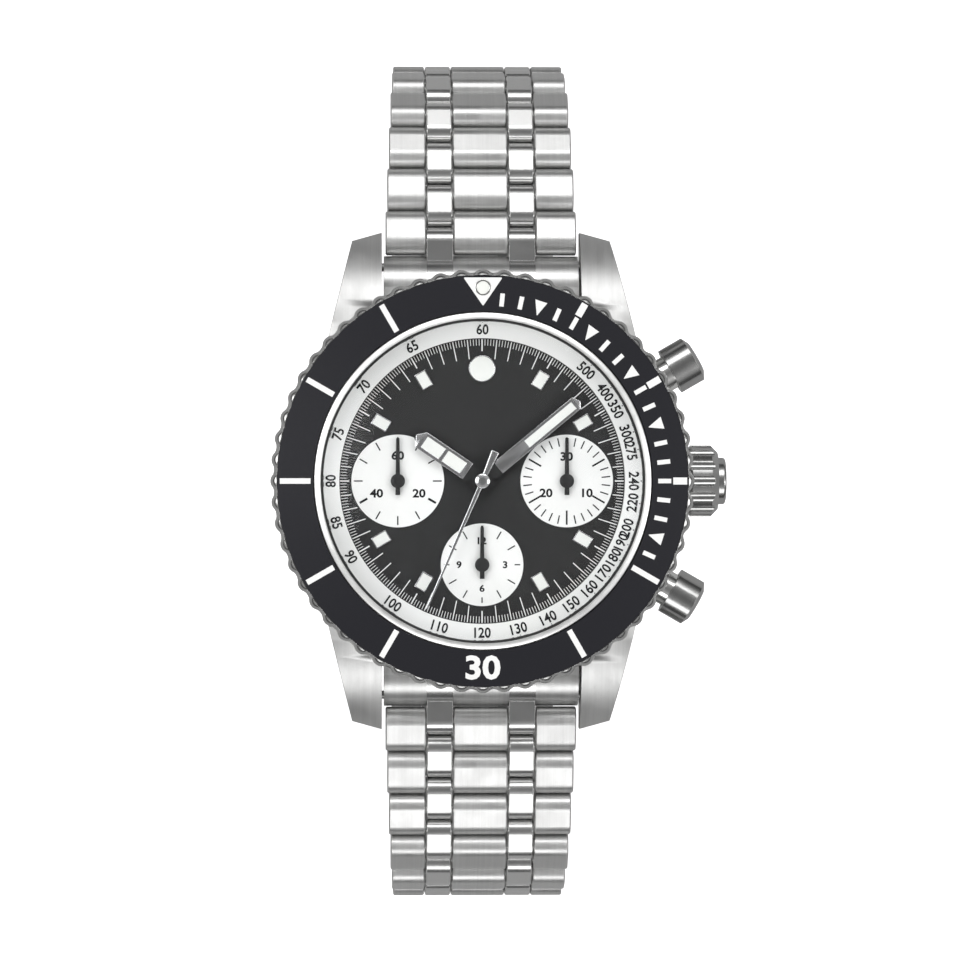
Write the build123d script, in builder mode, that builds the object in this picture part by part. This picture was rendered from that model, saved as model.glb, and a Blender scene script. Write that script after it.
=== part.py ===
from build123d import *

# A diver's chronograph wristwatch on a closed steel bracelet, as an assembly of separate pieces.
# Millimetres, +Z out of the dial, +Y to twelve o'clock, +X to the crown.
# The origin is the centre of the case back's outer face.
import math
import os

os.makedirs("parts", exist_ok=True)

# ---------------------------------------------------------------- driving sizes
# heights above the case back's outer face
BACK_T = 1.2  # case back flange
CASE_TOP = 9.2  # case body under the bezel
NECK_TOP = 12.1  # neck that carries the crystal
STEM_Z = 5.4  # winding stem and pushers
CAVITY_Z = 3.0  # floor of the movement cavity
RING_SEAT_Z = 10.0  # ledge that carries the tachymeter ring's flange
BRIDGE_Z = 3.3
BRIDGE_T = 0.7
WHEEL_Z = 5.65
WHEEL_T = 0.25
PLATE_Z = 6.1
DIAL_Z = 7.95
DIAL_T = 0.4
DOME_RISE = 1.7  # crystal dome above the neck
CRYSTAL_T = 1.9

# radii
CASE_R = 20.2
CASE_BASE_R = 17.9
CAVITY_R = 15.6
NECK_R = 16.75
NECK_FOOT_R = 18.0
CRYSTAL_R = 15.85
CRYSTAL_SEAT_R = 16.15
BEZEL_R = 21.1
INSERT_OUT_R = 20.4
TACHY_IN_R = 14.2
MOVEMENT_R = 14.0

# counts
LOBES = 60  # grip lobes round the bezel
CROWN_FLUTES = 14

# lugs
LUG_GAP = 20.0
LUG_TIP_Y = 25.1
LUG_OUT_TIP = 13.0
LUG_OUT_ROOT = 15.6
BAR_Y = 21.6
BAR_Z = 3.5
BAR_R = 0.75

# crown and pushers
CROWN_R = 3.6
CROWN_IN = 20.8
CROWN_OUT = 23.8
BOSS_R = 2.35
BOSS_OUT = 24.6
CROWN_TUBE_R = 2.0
STEM_R = 0.6
PINION_IN = 11.6
STEM_STEP = 13.9  # where the stem turns from square to round
STEM_END = 23.6
PUSHER_ANGLE = 30.0
CAP_R = 2.4
CAP_IN = 22.0
CAP_OUT = 24.6
CAP_DOME = 0.4
PUSHER_TUBE_R = 1.75
PUSHER_STEM_R = 0.8

# sub-dials and their arbors: place and radius of the white disc
SECONDS_AT = (-8.4, 0.0)
MINUTES_AT = (8.45, 0.0)
HOURS_AT = (0.0, -8.35)
SUB_R = 4.65
SUB_HOURS_R = 4.15
SUB_DEPTH = 0.12
BARREL_AT = (4.2, 4.8)
BALANCE_AT = (-5.9, 6.9)
BARREL_R = 5.2
BALANCE_R = 3.8

# hands: angle clockwise from twelve, height and thickness
HOUR_ANGLE = 304.0
MINUTE_ANGLE = 50.4
CHRONO_ANGLE = 203.6
SUB_HAND_Z = 8.6
HOUR_HAND_Z = 8.9
MINUTE_HAND_Z = 9.3
CHRONO_HAND_Z = 9.75
HAND_T = 0.18

# bracelet
PITCH = 4.7
LINK_T = 2.8
LINK_GAP = 0.05
COLUMN_GAP = 0.1
CENTRE_W = 5.5
NARROW_W = 2.6
OUTER_W = 4.25
OUTER_W_MIN = 3.2
TAPER = 0.18  # each outer link is this much narrower than the one before
LINK_EDGE = 0.12
PIN_R = 0.45
PIN_SET = 0.3  # a pin's end below the bracelet's edge
FIRST_HINGE = (24.2, 3.6)
TILTS = (20, 20, 25, 50, 72, 88, 92, 104, 128, 152, 174, 180)

# clasp
COVER_T = 0.8
COVER_WALL = 0.9
COVER_HALF = 9.1
LEAF_T = 0.9
LEAF_HALF = 7.2
KNUCKLE_R = 0.8
KNUCKLE_DROP = 0.55  # leaf hinges below the end bars
LEAF_PIN_R = 0.4
COVER_HINGE_Y = 20.4
LEAF_HINGE_Y = -14.0
FLAP_Y = 5.0
FLAP_KNUCKLE_R = 0.55

# fits
FIT = 0.05  # running fit on a radius
SLACK = 0.1  # gap between pieces that only pass each other

LINK_R = LINK_T / 2
HINGE_IN = LINK_GAP + LINK_R  # from a row's start to its hinge
HINGE_OUT = PITCH + HINGE_IN  # from a row's start to the next row's hinge
DIAL_TOP = DIAL_Z + DIAL_T


def save(piece, name):
    """Labels a finished piece and writes its STEP file."""
    piece.part.label = name
    export_step(piece.part, f"parts/{name}.step")


def clock_dir(angle):
    """Unit vector in the dial's plane at an angle clockwise from twelve o'clock."""
    a = math.radians(angle)
    return Vector(math.sin(a), math.cos(a), 0)


def radial_plane(angle, distance):
    """Plane across the case at the stem's height, facing outwards, angle from +X."""
    a = math.radians(angle)
    out = Vector(math.cos(a), math.sin(a), 0)
    return Plane(origin=out * distance + Vector(0, 0, STEM_Z), x_dir=(0, 0, 1), z_dir=out)


def hand_plane(angle, height):
    """Plane whose local Y runs along a hand that points at the angle."""
    return Plane(origin=(0, 0, height), x_dir=clock_dir(angle + 90), z_dir=(0, 0, 1))


def at_height(spot, height):
    """Horizontal plane through a spot of the dial."""
    return Plane(origin=(spot[0], spot[1], height))


def toothed_outline(tip_r, teeth, depth):
    """Points of a wheel's rim, four to each tooth."""
    points = []
    step = 2 * math.pi / teeth
    for i in range(teeth):
        for share, r in ((0.0, tip_r - depth), (0.2, tip_r), (0.45, tip_r), (0.65, tip_r - depth)):
            a = (i + share) * step
            points.append((r * math.cos(a), r * math.sin(a)))
    return points


def add_wheel(spot, height, thick, tip_r, teeth, arbor_r, low, high, spokes=4):
    """Adds a toothed, spoked wheel on its arbor to the open part."""
    rim = 0.45
    hub = arbor_r + 0.5
    with BuildSketch(at_height(spot, height)) as wheel:
        with BuildLine():
            Polyline(*toothed_outline(tip_r, teeth, 0.16), close=True)
        make_face()
        Circle(tip_r - 0.16 - rim, mode=Mode.SUBTRACT)
        with PolarLocations(0, spokes):
            Rectangle(tip_r - rim, 0.4, align=(Align.MIN, Align.CENTER))
        Circle(hub)
    extrude(wheel.sketch, amount=thick)
    with BuildSketch(at_height(spot, low)) as arbor:
        Circle(arbor_r)
    extrude(arbor.sketch, amount=high - low)


# ---------------------------------------------------------------- case
def lug_pair(turn):
    """One pair of lugs, at twelve o'clock or turned half round."""
    inner = LUG_GAP / 2
    far = LUG_TIP_Y + 0.2
    with BuildPart() as pair:
        with BuildSketch(Plane.XY):
            for side in (1, -1):
                with BuildLine():
                    Polyline(
                        (side * inner, 10.0),
                        (side * LUG_OUT_ROOT, 10.0),
                        (side * LUG_OUT_ROOT, 13.5),
                        (side * LUG_OUT_TIP, LUG_TIP_Y - 0.9),
                        (side * inner, LUG_TIP_Y),
                        close=True,
                    )
                make_face()
        extrude(amount=CASE_TOP)
        with BuildSketch(Plane.YZ):
            with BuildLine():
                Polyline((15.0, 1.6), (0, 1.6), (0, CASE_TOP), (14.5, CASE_TOP))
                ThreePointArc((14.5, CASE_TOP), (21.0, 7.4), (far, 3.4))
                Line((far, 3.4), (far, 1.3))
                ThreePointArc((far, 1.3), (20.5, 1.4), (15.0, 1.6))
            make_face()
        extrude(amount=LUG_OUT_ROOT + 1, both=True, mode=Mode.INTERSECT)
    return pair.part.rotate(Axis.Z, turn)


def make_mid_case():
    lugs = [lug_pair(0), lug_pair(180)]
    with BuildPart() as mid_case:
        with BuildSketch(Plane.XZ):
            with BuildLine():
                Polyline(
                    (0, BACK_T),
                    (CASE_BASE_R, BACK_T),
                    (CASE_R - 0.4, 3.2),
                    (CASE_R, 4.2),
                    (CASE_R, CASE_TOP - 0.3),
                    (CASE_R - 0.3, CASE_TOP),
                    (0, CASE_TOP),
                    close=True,
                )
            make_face()
        revolve(axis=Axis.Z)
        add(lugs)
        with BuildSketch(Plane.XY.offset(CASE_TOP)):
            Circle(NECK_FOOT_R)
        extrude(amount=1.2)
        with BuildSketch(Plane.XY.offset(CASE_TOP)):
            Circle(NECK_R)
        extrude(amount=NECK_TOP - CASE_TOP)
        chamfer(edges().group_by(Axis.Z)[-1], 0.2)
        with BuildSketch(Plane.XY):
            Circle(CAVITY_R)
        extrude(amount=NECK_TOP, mode=Mode.SUBTRACT)
        with BuildSketch(Plane.XY):
            Circle(CAVITY_R + 0.4)
        extrude(amount=CAVITY_Z, mode=Mode.SUBTRACT)
        with BuildSketch(Plane.XY.offset(RING_SEAT_Z)):
            Circle(CRYSTAL_SEAT_R)
        extrude(amount=NECK_TOP, mode=Mode.SUBTRACT)
        with BuildSketch(Plane.XY.offset(BACK_T)):
            Circle(17.0)
            Circle(16.3, mode=Mode.SUBTRACT)
        extrude(amount=0.5, mode=Mode.SUBTRACT)
        with BuildSketch(radial_plane(0, 12)):
            Circle(CROWN_TUBE_R)
        extrude(amount=12, mode=Mode.SUBTRACT)
        for angle in (PUSHER_ANGLE, -PUSHER_ANGLE):
            with BuildSketch(radial_plane(angle, 12)):
                Circle(PUSHER_TUBE_R)
            extrude(amount=12, mode=Mode.SUBTRACT)
        for side in (1, -1):
            with BuildSketch(Plane.YZ):
                with Locations((side * BAR_Y, BAR_Z)):
                    Circle(0.45)
            extrude(amount=LUG_GAP / 2 + 2.0, both=True, mode=Mode.SUBTRACT)
    save(mid_case, "mid_case")


def make_case_back():
    with BuildPart() as case_back:
        with BuildSketch(Plane.XY):
            Circle(CASE_BASE_R - 0.1)
        extrude(amount=BACK_T)
        chamfer(edges().group_by(Axis.Z)[0], 0.35)
        with BuildSketch(Plane.XY.offset(BACK_T)):
            Circle(CAVITY_R + 0.4 - FIT)
        extrude(amount=CAVITY_Z - BACK_T - SLACK)
        with BuildSketch(Plane.XY.offset(BACK_T)):
            Circle(CAVITY_R - 0.6)
        extrude(amount=CAVITY_Z, mode=Mode.SUBTRACT)
        with BuildSketch(Plane.XY):
            with PolarLocations(16.2, 6):
                Rectangle(1.6, 2.2)
        extrude(amount=0.6, mode=Mode.SUBTRACT)
    save(case_back, "case_back")


def make_gaskets():
    with BuildPart() as gaskets:
        with BuildSketch(Plane.XY.offset(BACK_T)):
            Circle(16.9)
            Circle(16.4, mode=Mode.SUBTRACT)
        extrude(amount=0.45)
        with BuildSketch(Plane.XY.offset(RING_SEAT_Z + 0.45)):
            Circle(CRYSTAL_SEAT_R)
            Circle(CRYSTAL_R, mode=Mode.SUBTRACT)
        extrude(amount=NECK_TOP - RING_SEAT_Z - 0.65)
    save(gaskets, "gaskets")


def dome_radius(half, rise):
    """Radius of a shallow dome from its half width and its rise."""
    return (half**2 + rise**2) / (2 * rise)


def make_crystal():
    floor = RING_SEAT_Z + 0.45
    edge = NECK_TOP + 0.1
    under = edge + DOME_RISE - CRYSTAL_T
    with BuildPart() as crystal:
        with BuildSketch(Plane.XZ):
            with BuildLine():
                Polyline((0, edge + DOME_RISE), (0, floor), (CRYSTAL_R, floor), (CRYSTAL_R, edge))
                RadiusArc((CRYSTAL_R, edge), (0, edge + DOME_RISE), -dome_radius(CRYSTAL_R, DOME_RISE))
            make_face()
        revolve(axis=Axis.Z)
        with BuildSketch(Plane.XZ):
            with BuildLine():
                Polyline((0, under), (0, floor), (CRYSTAL_R - 1.4, floor))
                RadiusArc((CRYSTAL_R - 1.4, floor), (0, under), -dome_radius(CRYSTAL_R - 1.4, under - floor))
            make_face()
        revolve(axis=Axis.Z, mode=Mode.SUBTRACT)
    save(crystal, "crystal")


def make_tachymeter_ring():
    with BuildPart() as tachymeter_ring:
        with BuildSketch(Plane.XZ):
            with BuildLine():
                Polyline(
                    (TACHY_IN_R, DIAL_TOP),
                    (CAVITY_R - FIT, DIAL_TOP),
                    (CAVITY_R - FIT, RING_SEAT_Z),
                    (CRYSTAL_SEAT_R - FIT, RING_SEAT_Z),
                    (CRYSTAL_SEAT_R - FIT, RING_SEAT_Z + 0.4),
                    (TACHY_IN_R, DIAL_TOP + 1.0),
                    close=True,
                )
            make_face()
        revolve(axis=Axis.Z)
    save(tachymeter_ring, "tachymeter_ring")


def make_dial_plate():
    with BuildPart() as dial_plate:
        with BuildSketch(Plane.XY.offset(DIAL_Z)):
            Circle(CAVITY_R - FIT)
        extrude(amount=DIAL_T)
        for spot, radius in ((SECONDS_AT, SUB_R), (MINUTES_AT, SUB_R), (HOURS_AT, SUB_HOURS_R)):
            with BuildSketch(at_height(spot, DIAL_TOP)):
                Circle(radius)
            extrude(amount=-SUB_DEPTH, mode=Mode.SUBTRACT)
            with BuildSketch(at_height(spot, DIAL_Z)):
                Circle(0.4)
            extrude(amount=DIAL_T, mode=Mode.SUBTRACT)
        with BuildSketch(Plane.XY.offset(DIAL_Z)):
            Circle(1.0)
        extrude(amount=DIAL_T, mode=Mode.SUBTRACT)
    save(dial_plate, "dial_plate")


def make_case_tubes():
    with BuildPart() as case_tubes:
        with BuildSketch(radial_plane(0, CAVITY_R + 0.1)):
            Circle(CROWN_TUBE_R)
            Circle(STEM_R + FIT, mode=Mode.SUBTRACT)
        extrude(amount=22.3 - CAVITY_R - 0.1)
        for angle in (PUSHER_ANGLE, -PUSHER_ANGLE):
            with BuildSketch(radial_plane(angle, CAVITY_R + 0.1)):
                Circle(PUSHER_TUBE_R)
                Circle(PUSHER_STEM_R + FIT, mode=Mode.SUBTRACT)
            extrude(amount=22.3 - CAVITY_R - 0.1)
    save(case_tubes, "case_tubes")


# ---------------------------------------------------------------- bezel
def make_bezel_ring():
    with BuildPart() as bezel_ring:
        with BuildSketch(Plane.XZ):
            with BuildLine():
                Polyline(
                    (NECK_FOOT_R + SLACK, 9.3),
                    (BEZEL_R - 0.5, 9.3),
                    (BEZEL_R, 9.8),
                    (BEZEL_R, 11.3),
                    (BEZEL_R - 0.35, 11.9),
                    (INSERT_OUT_R + FIT, 12.0),
                    (INSERT_OUT_R + FIT, 11.3),
                    (NECK_R + SLACK, 11.3),
                    (NECK_R + SLACK, 10.5),
                    (NECK_FOOT_R + SLACK, 10.5),
                    close=True,
                )
            make_face()
        revolve(axis=Axis.Z)
        with BuildSketch(Plane.XY.offset(9.3)):
            with PolarLocations(BEZEL_R + 0.35, LOBES, start_angle=3):
                Circle(0.72)
        extrude(amount=3, mode=Mode.SUBTRACT)
        with BuildSketch(Plane.XY.offset(9.3)):
            Circle(20.0)
            Circle(18.5, mode=Mode.SUBTRACT)
        extrude(amount=0.6, mode=Mode.SUBTRACT)
    save(bezel_ring, "bezel_ring")


def make_bezel_insert():
    with BuildPart() as bezel_insert:
        with BuildSketch(Plane.XZ):
            with BuildLine():
                Polyline(
                    (NECK_R + SLACK, 11.3),
                    (INSERT_OUT_R, 11.3),
                    (INSERT_OUT_R, 11.8),
                    (NECK_R + SLACK, 12.15),
                    close=True,
                )
            make_face()
        revolve(axis=Axis.Z)
    save(bezel_insert, "bezel_insert")


def make_click_spring():
    with BuildPart() as bezel_click_spring:
        with BuildSketch(Plane.XY.offset(CASE_TOP)):
            Circle(19.7)
            Circle(18.8, mode=Mode.SUBTRACT)
            with PolarLocations(19.25, 3):
                Rectangle(1.6, 1.0, mode=Mode.SUBTRACT)
        extrude(amount=0.3)
        with BuildSketch(Plane.XY.offset(CASE_TOP + 0.3)):
            with PolarLocations(19.25, 3, start_angle=8):
                Rectangle(0.7, 0.8)
        extrude(amount=0.25)
    save(bezel_click_spring, "bezel_click_spring")


# ---------------------------------------------------------------- hands
def baton(plane, half_base, half_wide, start, point, tip):
    """Adds a straight hand with a short point, from start to tip, to the open part."""
    with BuildSketch(plane) as outline:
        with BuildLine():
            Polyline(
                (-half_base, start),
                (half_base, start),
                (half_wide, start + 0.6),
                (half_wide, point),
                (half_base * 0.5, tip),
                (-half_base * 0.5, tip),
                (-half_wide, point),
                (-half_wide, start + 0.6),
                close=True,
            )
        make_face()
    extrude(outline.sketch, amount=HAND_T)


def add_ring(height, thick, outer, inner, spot=(0, 0)):
    """Adds a plain collar to the open part."""
    with BuildSketch(at_height(spot, height)) as collar:
        Circle(outer)
        if inner > 0:
            Circle(inner, mode=Mode.SUBTRACT)
    extrude(collar.sketch, amount=thick)


CHRONO_ARBOR_R = 0.2
CANNON_R = 0.5
PIPE_R = 0.85


def make_hour_hand():
    plane = hand_plane(HOUR_ANGLE, HOUR_HAND_Z)
    with BuildPart() as hour_hand:
        baton(plane, 0.5, 0.925, 0.9, 7.0, 8.0)
        add_ring(HOUR_HAND_Z, HAND_T, 1.25, 0)
        add_ring(7.6, HOUR_HAND_Z - 7.6, PIPE_R, 0)
        add_ring(7.55, 0.2, 2.4, 0)
        with BuildSketch(Plane.XY.offset(7)):
            Circle(CANNON_R + FIT)
        extrude(amount=3, mode=Mode.SUBTRACT)
    save(hour_hand, "hour_hand")


def make_minute_hand():
    plane = hand_plane(MINUTE_ANGLE, MINUTE_HAND_Z)
    with BuildPart() as minute_hand:
        baton(plane, 0.35, 0.7, 0.7, 11.7, 12.6)
        add_ring(MINUTE_HAND_Z, HAND_T, 1.0, 0)
        add_ring(MINUTE_HAND_Z - 0.12, 0.12, 0.8, 0)
        with BuildSketch(Plane.XY.offset(9)):
            Circle(CANNON_R)
        extrude(amount=1, mode=Mode.SUBTRACT)
    save(minute_hand, "minute_hand")


def make_chrono_hand():
    plane = hand_plane(CHRONO_ANGLE, CHRONO_HAND_Z)
    with BuildPart() as chrono_hand:
        with BuildSketch(plane):
            with BuildLine():
                Polyline((-0.22, 0), (0.22, 0), (0.09, 13.9), (-0.09, 13.9), close=True)
            make_face()
            with BuildLine():
                Polyline((-0.2, 0), (0.2, 0), (0.42, -3.2), (-0.42, -3.2), close=True)
            make_face()
        extrude(amount=HAND_T)
        add_ring(CHRONO_HAND_Z, 0.35, 0.7, 0)
        add_wheel((0, 0), 4.1, WHEEL_T, 4.0, 60, CHRONO_ARBOR_R, 3.75, CHRONO_HAND_Z)
    save(chrono_hand, "chrono_hand")


def make_sub_hand(name, spot, reach, tip_r, teeth):
    """A small hand on the arbor of its own wheel, pointing at twelve o'clock."""
    with BuildPart() as sub_hand:
        with BuildSketch(at_height(spot, SUB_HAND_Z)):
            with BuildLine():
                Polyline((-0.16, -1.3), (0.16, -1.3), (0.12, reach), (-0.12, reach), close=True)
            make_face()
            Circle(0.7)
        extrude(amount=HAND_T)
        add_wheel(spot, WHEEL_Z, WHEEL_T, tip_r, teeth, 0.22, 3.75, SUB_HAND_Z)
    save(sub_hand, name)


# ---------------------------------------------------------------- movement
def make_main_plate():
    arbors = (SECONDS_AT, MINUTES_AT, HOURS_AT)
    with BuildPart() as main_plate:
        with BuildSketch(Plane.XY.offset(PLATE_Z)):
            Circle(MOVEMENT_R)
        extrude(amount=DIAL_Z - PLATE_Z)
        with BuildSketch(Plane.XY.offset(BRIDGE_Z + BRIDGE_T)):
            Circle(MOVEMENT_R)
            Circle(MOVEMENT_R - 1.0, mode=Mode.SUBTRACT)
        extrude(amount=PLATE_Z - BRIDGE_Z - BRIDGE_T)
        with BuildSketch(Plane.XY.offset(7.45)):
            Circle(2.6)
        extrude(amount=1, mode=Mode.SUBTRACT)
        with BuildSketch(Plane.XY.offset(PLATE_Z)):
            Circle(CANNON_R + FIT)
            for spot in arbors:
                with Locations(spot):
                    Circle(0.22 + FIT)
            with Locations(BALANCE_AT, BARREL_AT):
                Circle(0.25 + FIT)
        extrude(amount=2, mode=Mode.SUBTRACT)
        with BuildSketch(radial_plane(0, PINION_IN - 0.3)):
            Circle(1.6)
        extrude(amount=5, mode=Mode.SUBTRACT)
        for angle in (PUSHER_ANGLE, -PUSHER_ANGLE):
            with BuildSketch(radial_plane(angle, 11)):
                Circle(0.95)
            extrude(amount=5, mode=Mode.SUBTRACT)
        with BuildSketch(Plane.XY.offset(BRIDGE_Z + BRIDGE_T)):
            with PolarLocations(MOVEMENT_R - 0.6, 3, start_angle=70):
                Circle(0.25)
        extrude(amount=1.5, mode=Mode.SUBTRACT)
    save(main_plate, "main_plate")


def make_bridges():
    jewel_spots = ((0, 0), SECONDS_AT, MINUTES_AT, HOURS_AT, BALANCE_AT, BARREL_AT)
    with BuildPart() as bridges:
        with BuildSketch(Plane.XY.offset(BRIDGE_Z)):
            Circle(MOVEMENT_R - 0.1)
            with Locations(BALANCE_AT):
                Circle(BALANCE_R + 0.3, mode=Mode.SUBTRACT)
            with Locations(jewel_spots[:4]):
                Circle(0.6, mode=Mode.SUBTRACT)
            with Locations(BARREL_AT):
                Circle(0.6, mode=Mode.SUBTRACT)
            with PolarLocations(MOVEMENT_R - 0.6, 3, start_angle=70):
                Circle(0.25, mode=Mode.SUBTRACT)
        extrude(amount=BRIDGE_T)
        with BuildSketch(Plane.XY.offset(BRIDGE_Z)):
            with BuildLine():
                Polyline(
                    (BALANCE_AT[0] - 3.6, BALANCE_AT[1] + 2.4),
                    (BALANCE_AT[0] - 0.9, BALANCE_AT[1] - 0.9),
                    (BALANCE_AT[0] + 0.9, BALANCE_AT[1] - 0.9),
                    (BALANCE_AT[0] + 0.9, BALANCE_AT[1] + 4.35),
                    (BALANCE_AT[0] - 2.0, BALANCE_AT[1] + 4.3),
                    close=True,
                )
            make_face()
            with Locations(BALANCE_AT):
                Circle(0.6, mode=Mode.SUBTRACT)
        extrude(amount=BRIDGE_T)
        with BuildSketch(Plane.XY.offset(2.2)):
            Circle(0.9)
        extrude(amount=BRIDGE_Z - 2.2)
    save(bridges, "bridges")


def make_jewels():
    with BuildPart() as jewels:
        with BuildSketch(Plane.XY.offset(BRIDGE_Z + 0.05)):
            with Locations((0, 0), SECONDS_AT, MINUTES_AT, HOURS_AT, BALANCE_AT, BARREL_AT):
                Circle(0.6)
        extrude(amount=0.35)
    save(jewels, "jewels")


def make_movement_screws():
    with BuildPart() as movement_screws:
        with BuildSketch(Plane.XY.offset(BRIDGE_Z)):
            with PolarLocations(MOVEMENT_R - 0.6, 3, start_angle=70):
                Circle(0.25)
        extrude(amount=2.0)
        with BuildSketch(Plane.XY.offset(BRIDGE_Z)):
            with PolarLocations(MOVEMENT_R - 0.6, 3, start_angle=70):
                Circle(0.5)
        extrude(amount=-0.2)
        with BuildSketch(Plane.XY.offset(2.2)):
            Circle(1.5)
        extrude(amount=-0.35)
        with BuildSketch(Plane.XY.offset(1.8)):
            Rectangle(2.2, 0.3)
        extrude(amount=0.15, mode=Mode.SUBTRACT)
    save(movement_screws, "movement_screws")


def make_movement_ring():
    with BuildPart() as movement_ring:
        with BuildSketch(Plane.XY.offset(CAVITY_Z)):
            Circle(CAVITY_R - FIT)
            Circle(MOVEMENT_R, mode=Mode.SUBTRACT)
        extrude(amount=DIAL_Z - CAVITY_Z)
        with BuildSketch(radial_plane(0, 10)):
            Circle(1.6)
        extrude(amount=8, mode=Mode.SUBTRACT)
        for angle in (PUSHER_ANGLE, -PUSHER_ANGLE):
            with BuildSketch(radial_plane(angle, 10)):
                Circle(0.95)
            extrude(amount=8, mode=Mode.SUBTRACT)
    save(movement_ring, "movement_ring")


def make_barrel():
    with BuildPart() as barrel:
        with BuildSketch(at_height(BARREL_AT, 4.5)):
            Circle(BARREL_R - 0.4)
        extrude(amount=1.0)
        with BuildSketch(at_height(BARREL_AT, 5.2)):
            with BuildLine():
                Polyline(*toothed_outline(BARREL_R, 80, 0.2), close=True)
            make_face()
        extrude(amount=0.3)
        with BuildSketch(at_height(BARREL_AT, 3.75)):
            Circle(0.25)
        extrude(amount=3.6)
    save(barrel, "barrel")


def make_centre_wheel():
    with BuildPart() as centre_wheel:
        add_wheel((0, 0), WHEEL_Z, WHEEL_T, 4.6, 72, CANNON_R, 4.5, MINUTE_HAND_Z + HAND_T)
        with BuildSketch(Plane.XY.offset(4.4)):
            Circle(CHRONO_ARBOR_R + FIT)
        extrude(amount=6, mode=Mode.SUBTRACT)
    save(centre_wheel, "centre_wheel")


def hairspring_outline(turns, start, pitch, thick, steps):
    """Points out along a spiral's outer side and back along its inner side."""
    outer = []
    inner = []
    for i in range(steps + 1):
        a = 2 * math.pi * turns * i / steps
        r = start + pitch * a / (2 * math.pi)
        outer.append(((r + thick) * math.cos(a), (r + thick) * math.sin(a)))
        inner.append((r * math.cos(a), r * math.sin(a)))
    return outer, inner


def make_balance_wheel():
    outer, inner = hairspring_outline(6.5, 0.45, 0.28, 0.07, 104)
    with BuildPart() as balance_wheel:
        with BuildSketch(at_height(BALANCE_AT, 4.7)):
            Circle(BALANCE_R)
            Circle(BALANCE_R - 0.5, mode=Mode.SUBTRACT)
            with PolarLocations(0, 3):
                Rectangle(BALANCE_R - 0.2, 0.45, align=(Align.MIN, Align.CENTER))
            Circle(0.6)
        extrude(amount=0.4)
        with BuildSketch(at_height(BALANCE_AT, 3.75)):
            Circle(0.25)
        extrude(amount=3.6)
        with BuildSketch(at_height(BALANCE_AT, 4.15)):
            with BuildLine():
                Spline(*outer)
                Line(outer[-1], inner[-1])
                Spline(*reversed(inner))
                Line(inner[0], outer[0])
            make_face()
            Circle(0.5)
        extrude(amount=0.2)
    save(balance_wheel, "balance_wheel")


def make_rotor():
    with BuildPart() as rotor:
        with BuildSketch(Plane.XY.offset(2.35)):
            Circle(13.4)
            with Locations((0, 0)):
                Rectangle(30, 15, align=(Align.CENTER, Align.MIN), mode=Mode.SUBTRACT)
            with PolarLocations(7.2, 3, start_angle=210, angular_range=120, endpoint=True):
                Circle(2.2, mode=Mode.SUBTRACT)
            Circle(2.6)
        extrude(amount=0.4)
        with BuildSketch(Plane.XY.offset(1.8)):
            Circle(13.4)
            Circle(10.6, mode=Mode.SUBTRACT)
            with Locations((0, 0)):
                Rectangle(30, 15, align=(Align.CENTER, Align.MIN), mode=Mode.SUBTRACT)
        extrude(amount=1.2)
        with BuildSketch(Plane.XY.offset(2.3)):
            Circle(2.0)
        extrude(amount=0.7)
        with BuildSketch(Plane.XY.offset(1)):
            Circle(0.9 + FIT)
        extrude(amount=4, mode=Mode.SUBTRACT)
    save(rotor, "rotor")


# ---------------------------------------------------------------- crown and pushers
def make_crown():
    with BuildPart() as crown:
        with BuildSketch(radial_plane(0, CROWN_IN)):
            Circle(CROWN_R)
        extrude(amount=CROWN_OUT - CROWN_IN)
        chamfer(edges().group_by(Axis.X)[-1], 0.7)
        chamfer(edges().group_by(Axis.X)[0], 0.3)
        with BuildSketch(radial_plane(0, CROWN_OUT)):
            Circle(BOSS_R)
        extrude(amount=BOSS_OUT - CROWN_OUT)
        fillet(edges().group_by(Axis.X)[-1], 0.3)
        with BuildSketch(radial_plane(0, CROWN_IN)):
            with PolarLocations(CROWN_R + 0.3, CROWN_FLUTES):
                Circle(0.6)
        extrude(amount=CROWN_OUT - CROWN_IN, mode=Mode.SUBTRACT)
        with BuildSketch(radial_plane(0, CROWN_IN)):
            Circle(CROWN_TUBE_R + FIT)
        extrude(amount=22.5 - CROWN_IN, mode=Mode.SUBTRACT)
        with BuildSketch(radial_plane(0, CROWN_IN)):
            Circle(STEM_R)
        extrude(amount=STEM_END - CROWN_IN, mode=Mode.SUBTRACT)
    save(crown, "crown")


def make_winding_stem():
    with BuildPart() as winding_stem:
        with BuildSketch(radial_plane(0, STEM_STEP)):
            Circle(STEM_R)
        extrude(amount=STEM_END - STEM_STEP)
        with BuildSketch(radial_plane(0, PINION_IN)):
            Rectangle(0.7, 0.7)
        extrude(amount=STEM_STEP - PINION_IN)
    save(winding_stem, "winding_stem")


def make_winding_pinion():
    with BuildPart() as winding_pinion:
        with BuildSketch(radial_plane(0, PINION_IN)):
            Circle(1.2)
            Rectangle(0.8, 0.8, mode=Mode.SUBTRACT)
        extrude(amount=1.6)
        with BuildSketch(radial_plane(0, PINION_IN + 1.6)):
            with BuildLine():
                Polyline(*toothed_outline(1.4, 16, 0.25), close=True)
            make_face()
            Rectangle(0.8, 0.8, mode=Mode.SUBTRACT)
        extrude(amount=0.6)
    save(winding_pinion, "winding_pinion")


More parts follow.
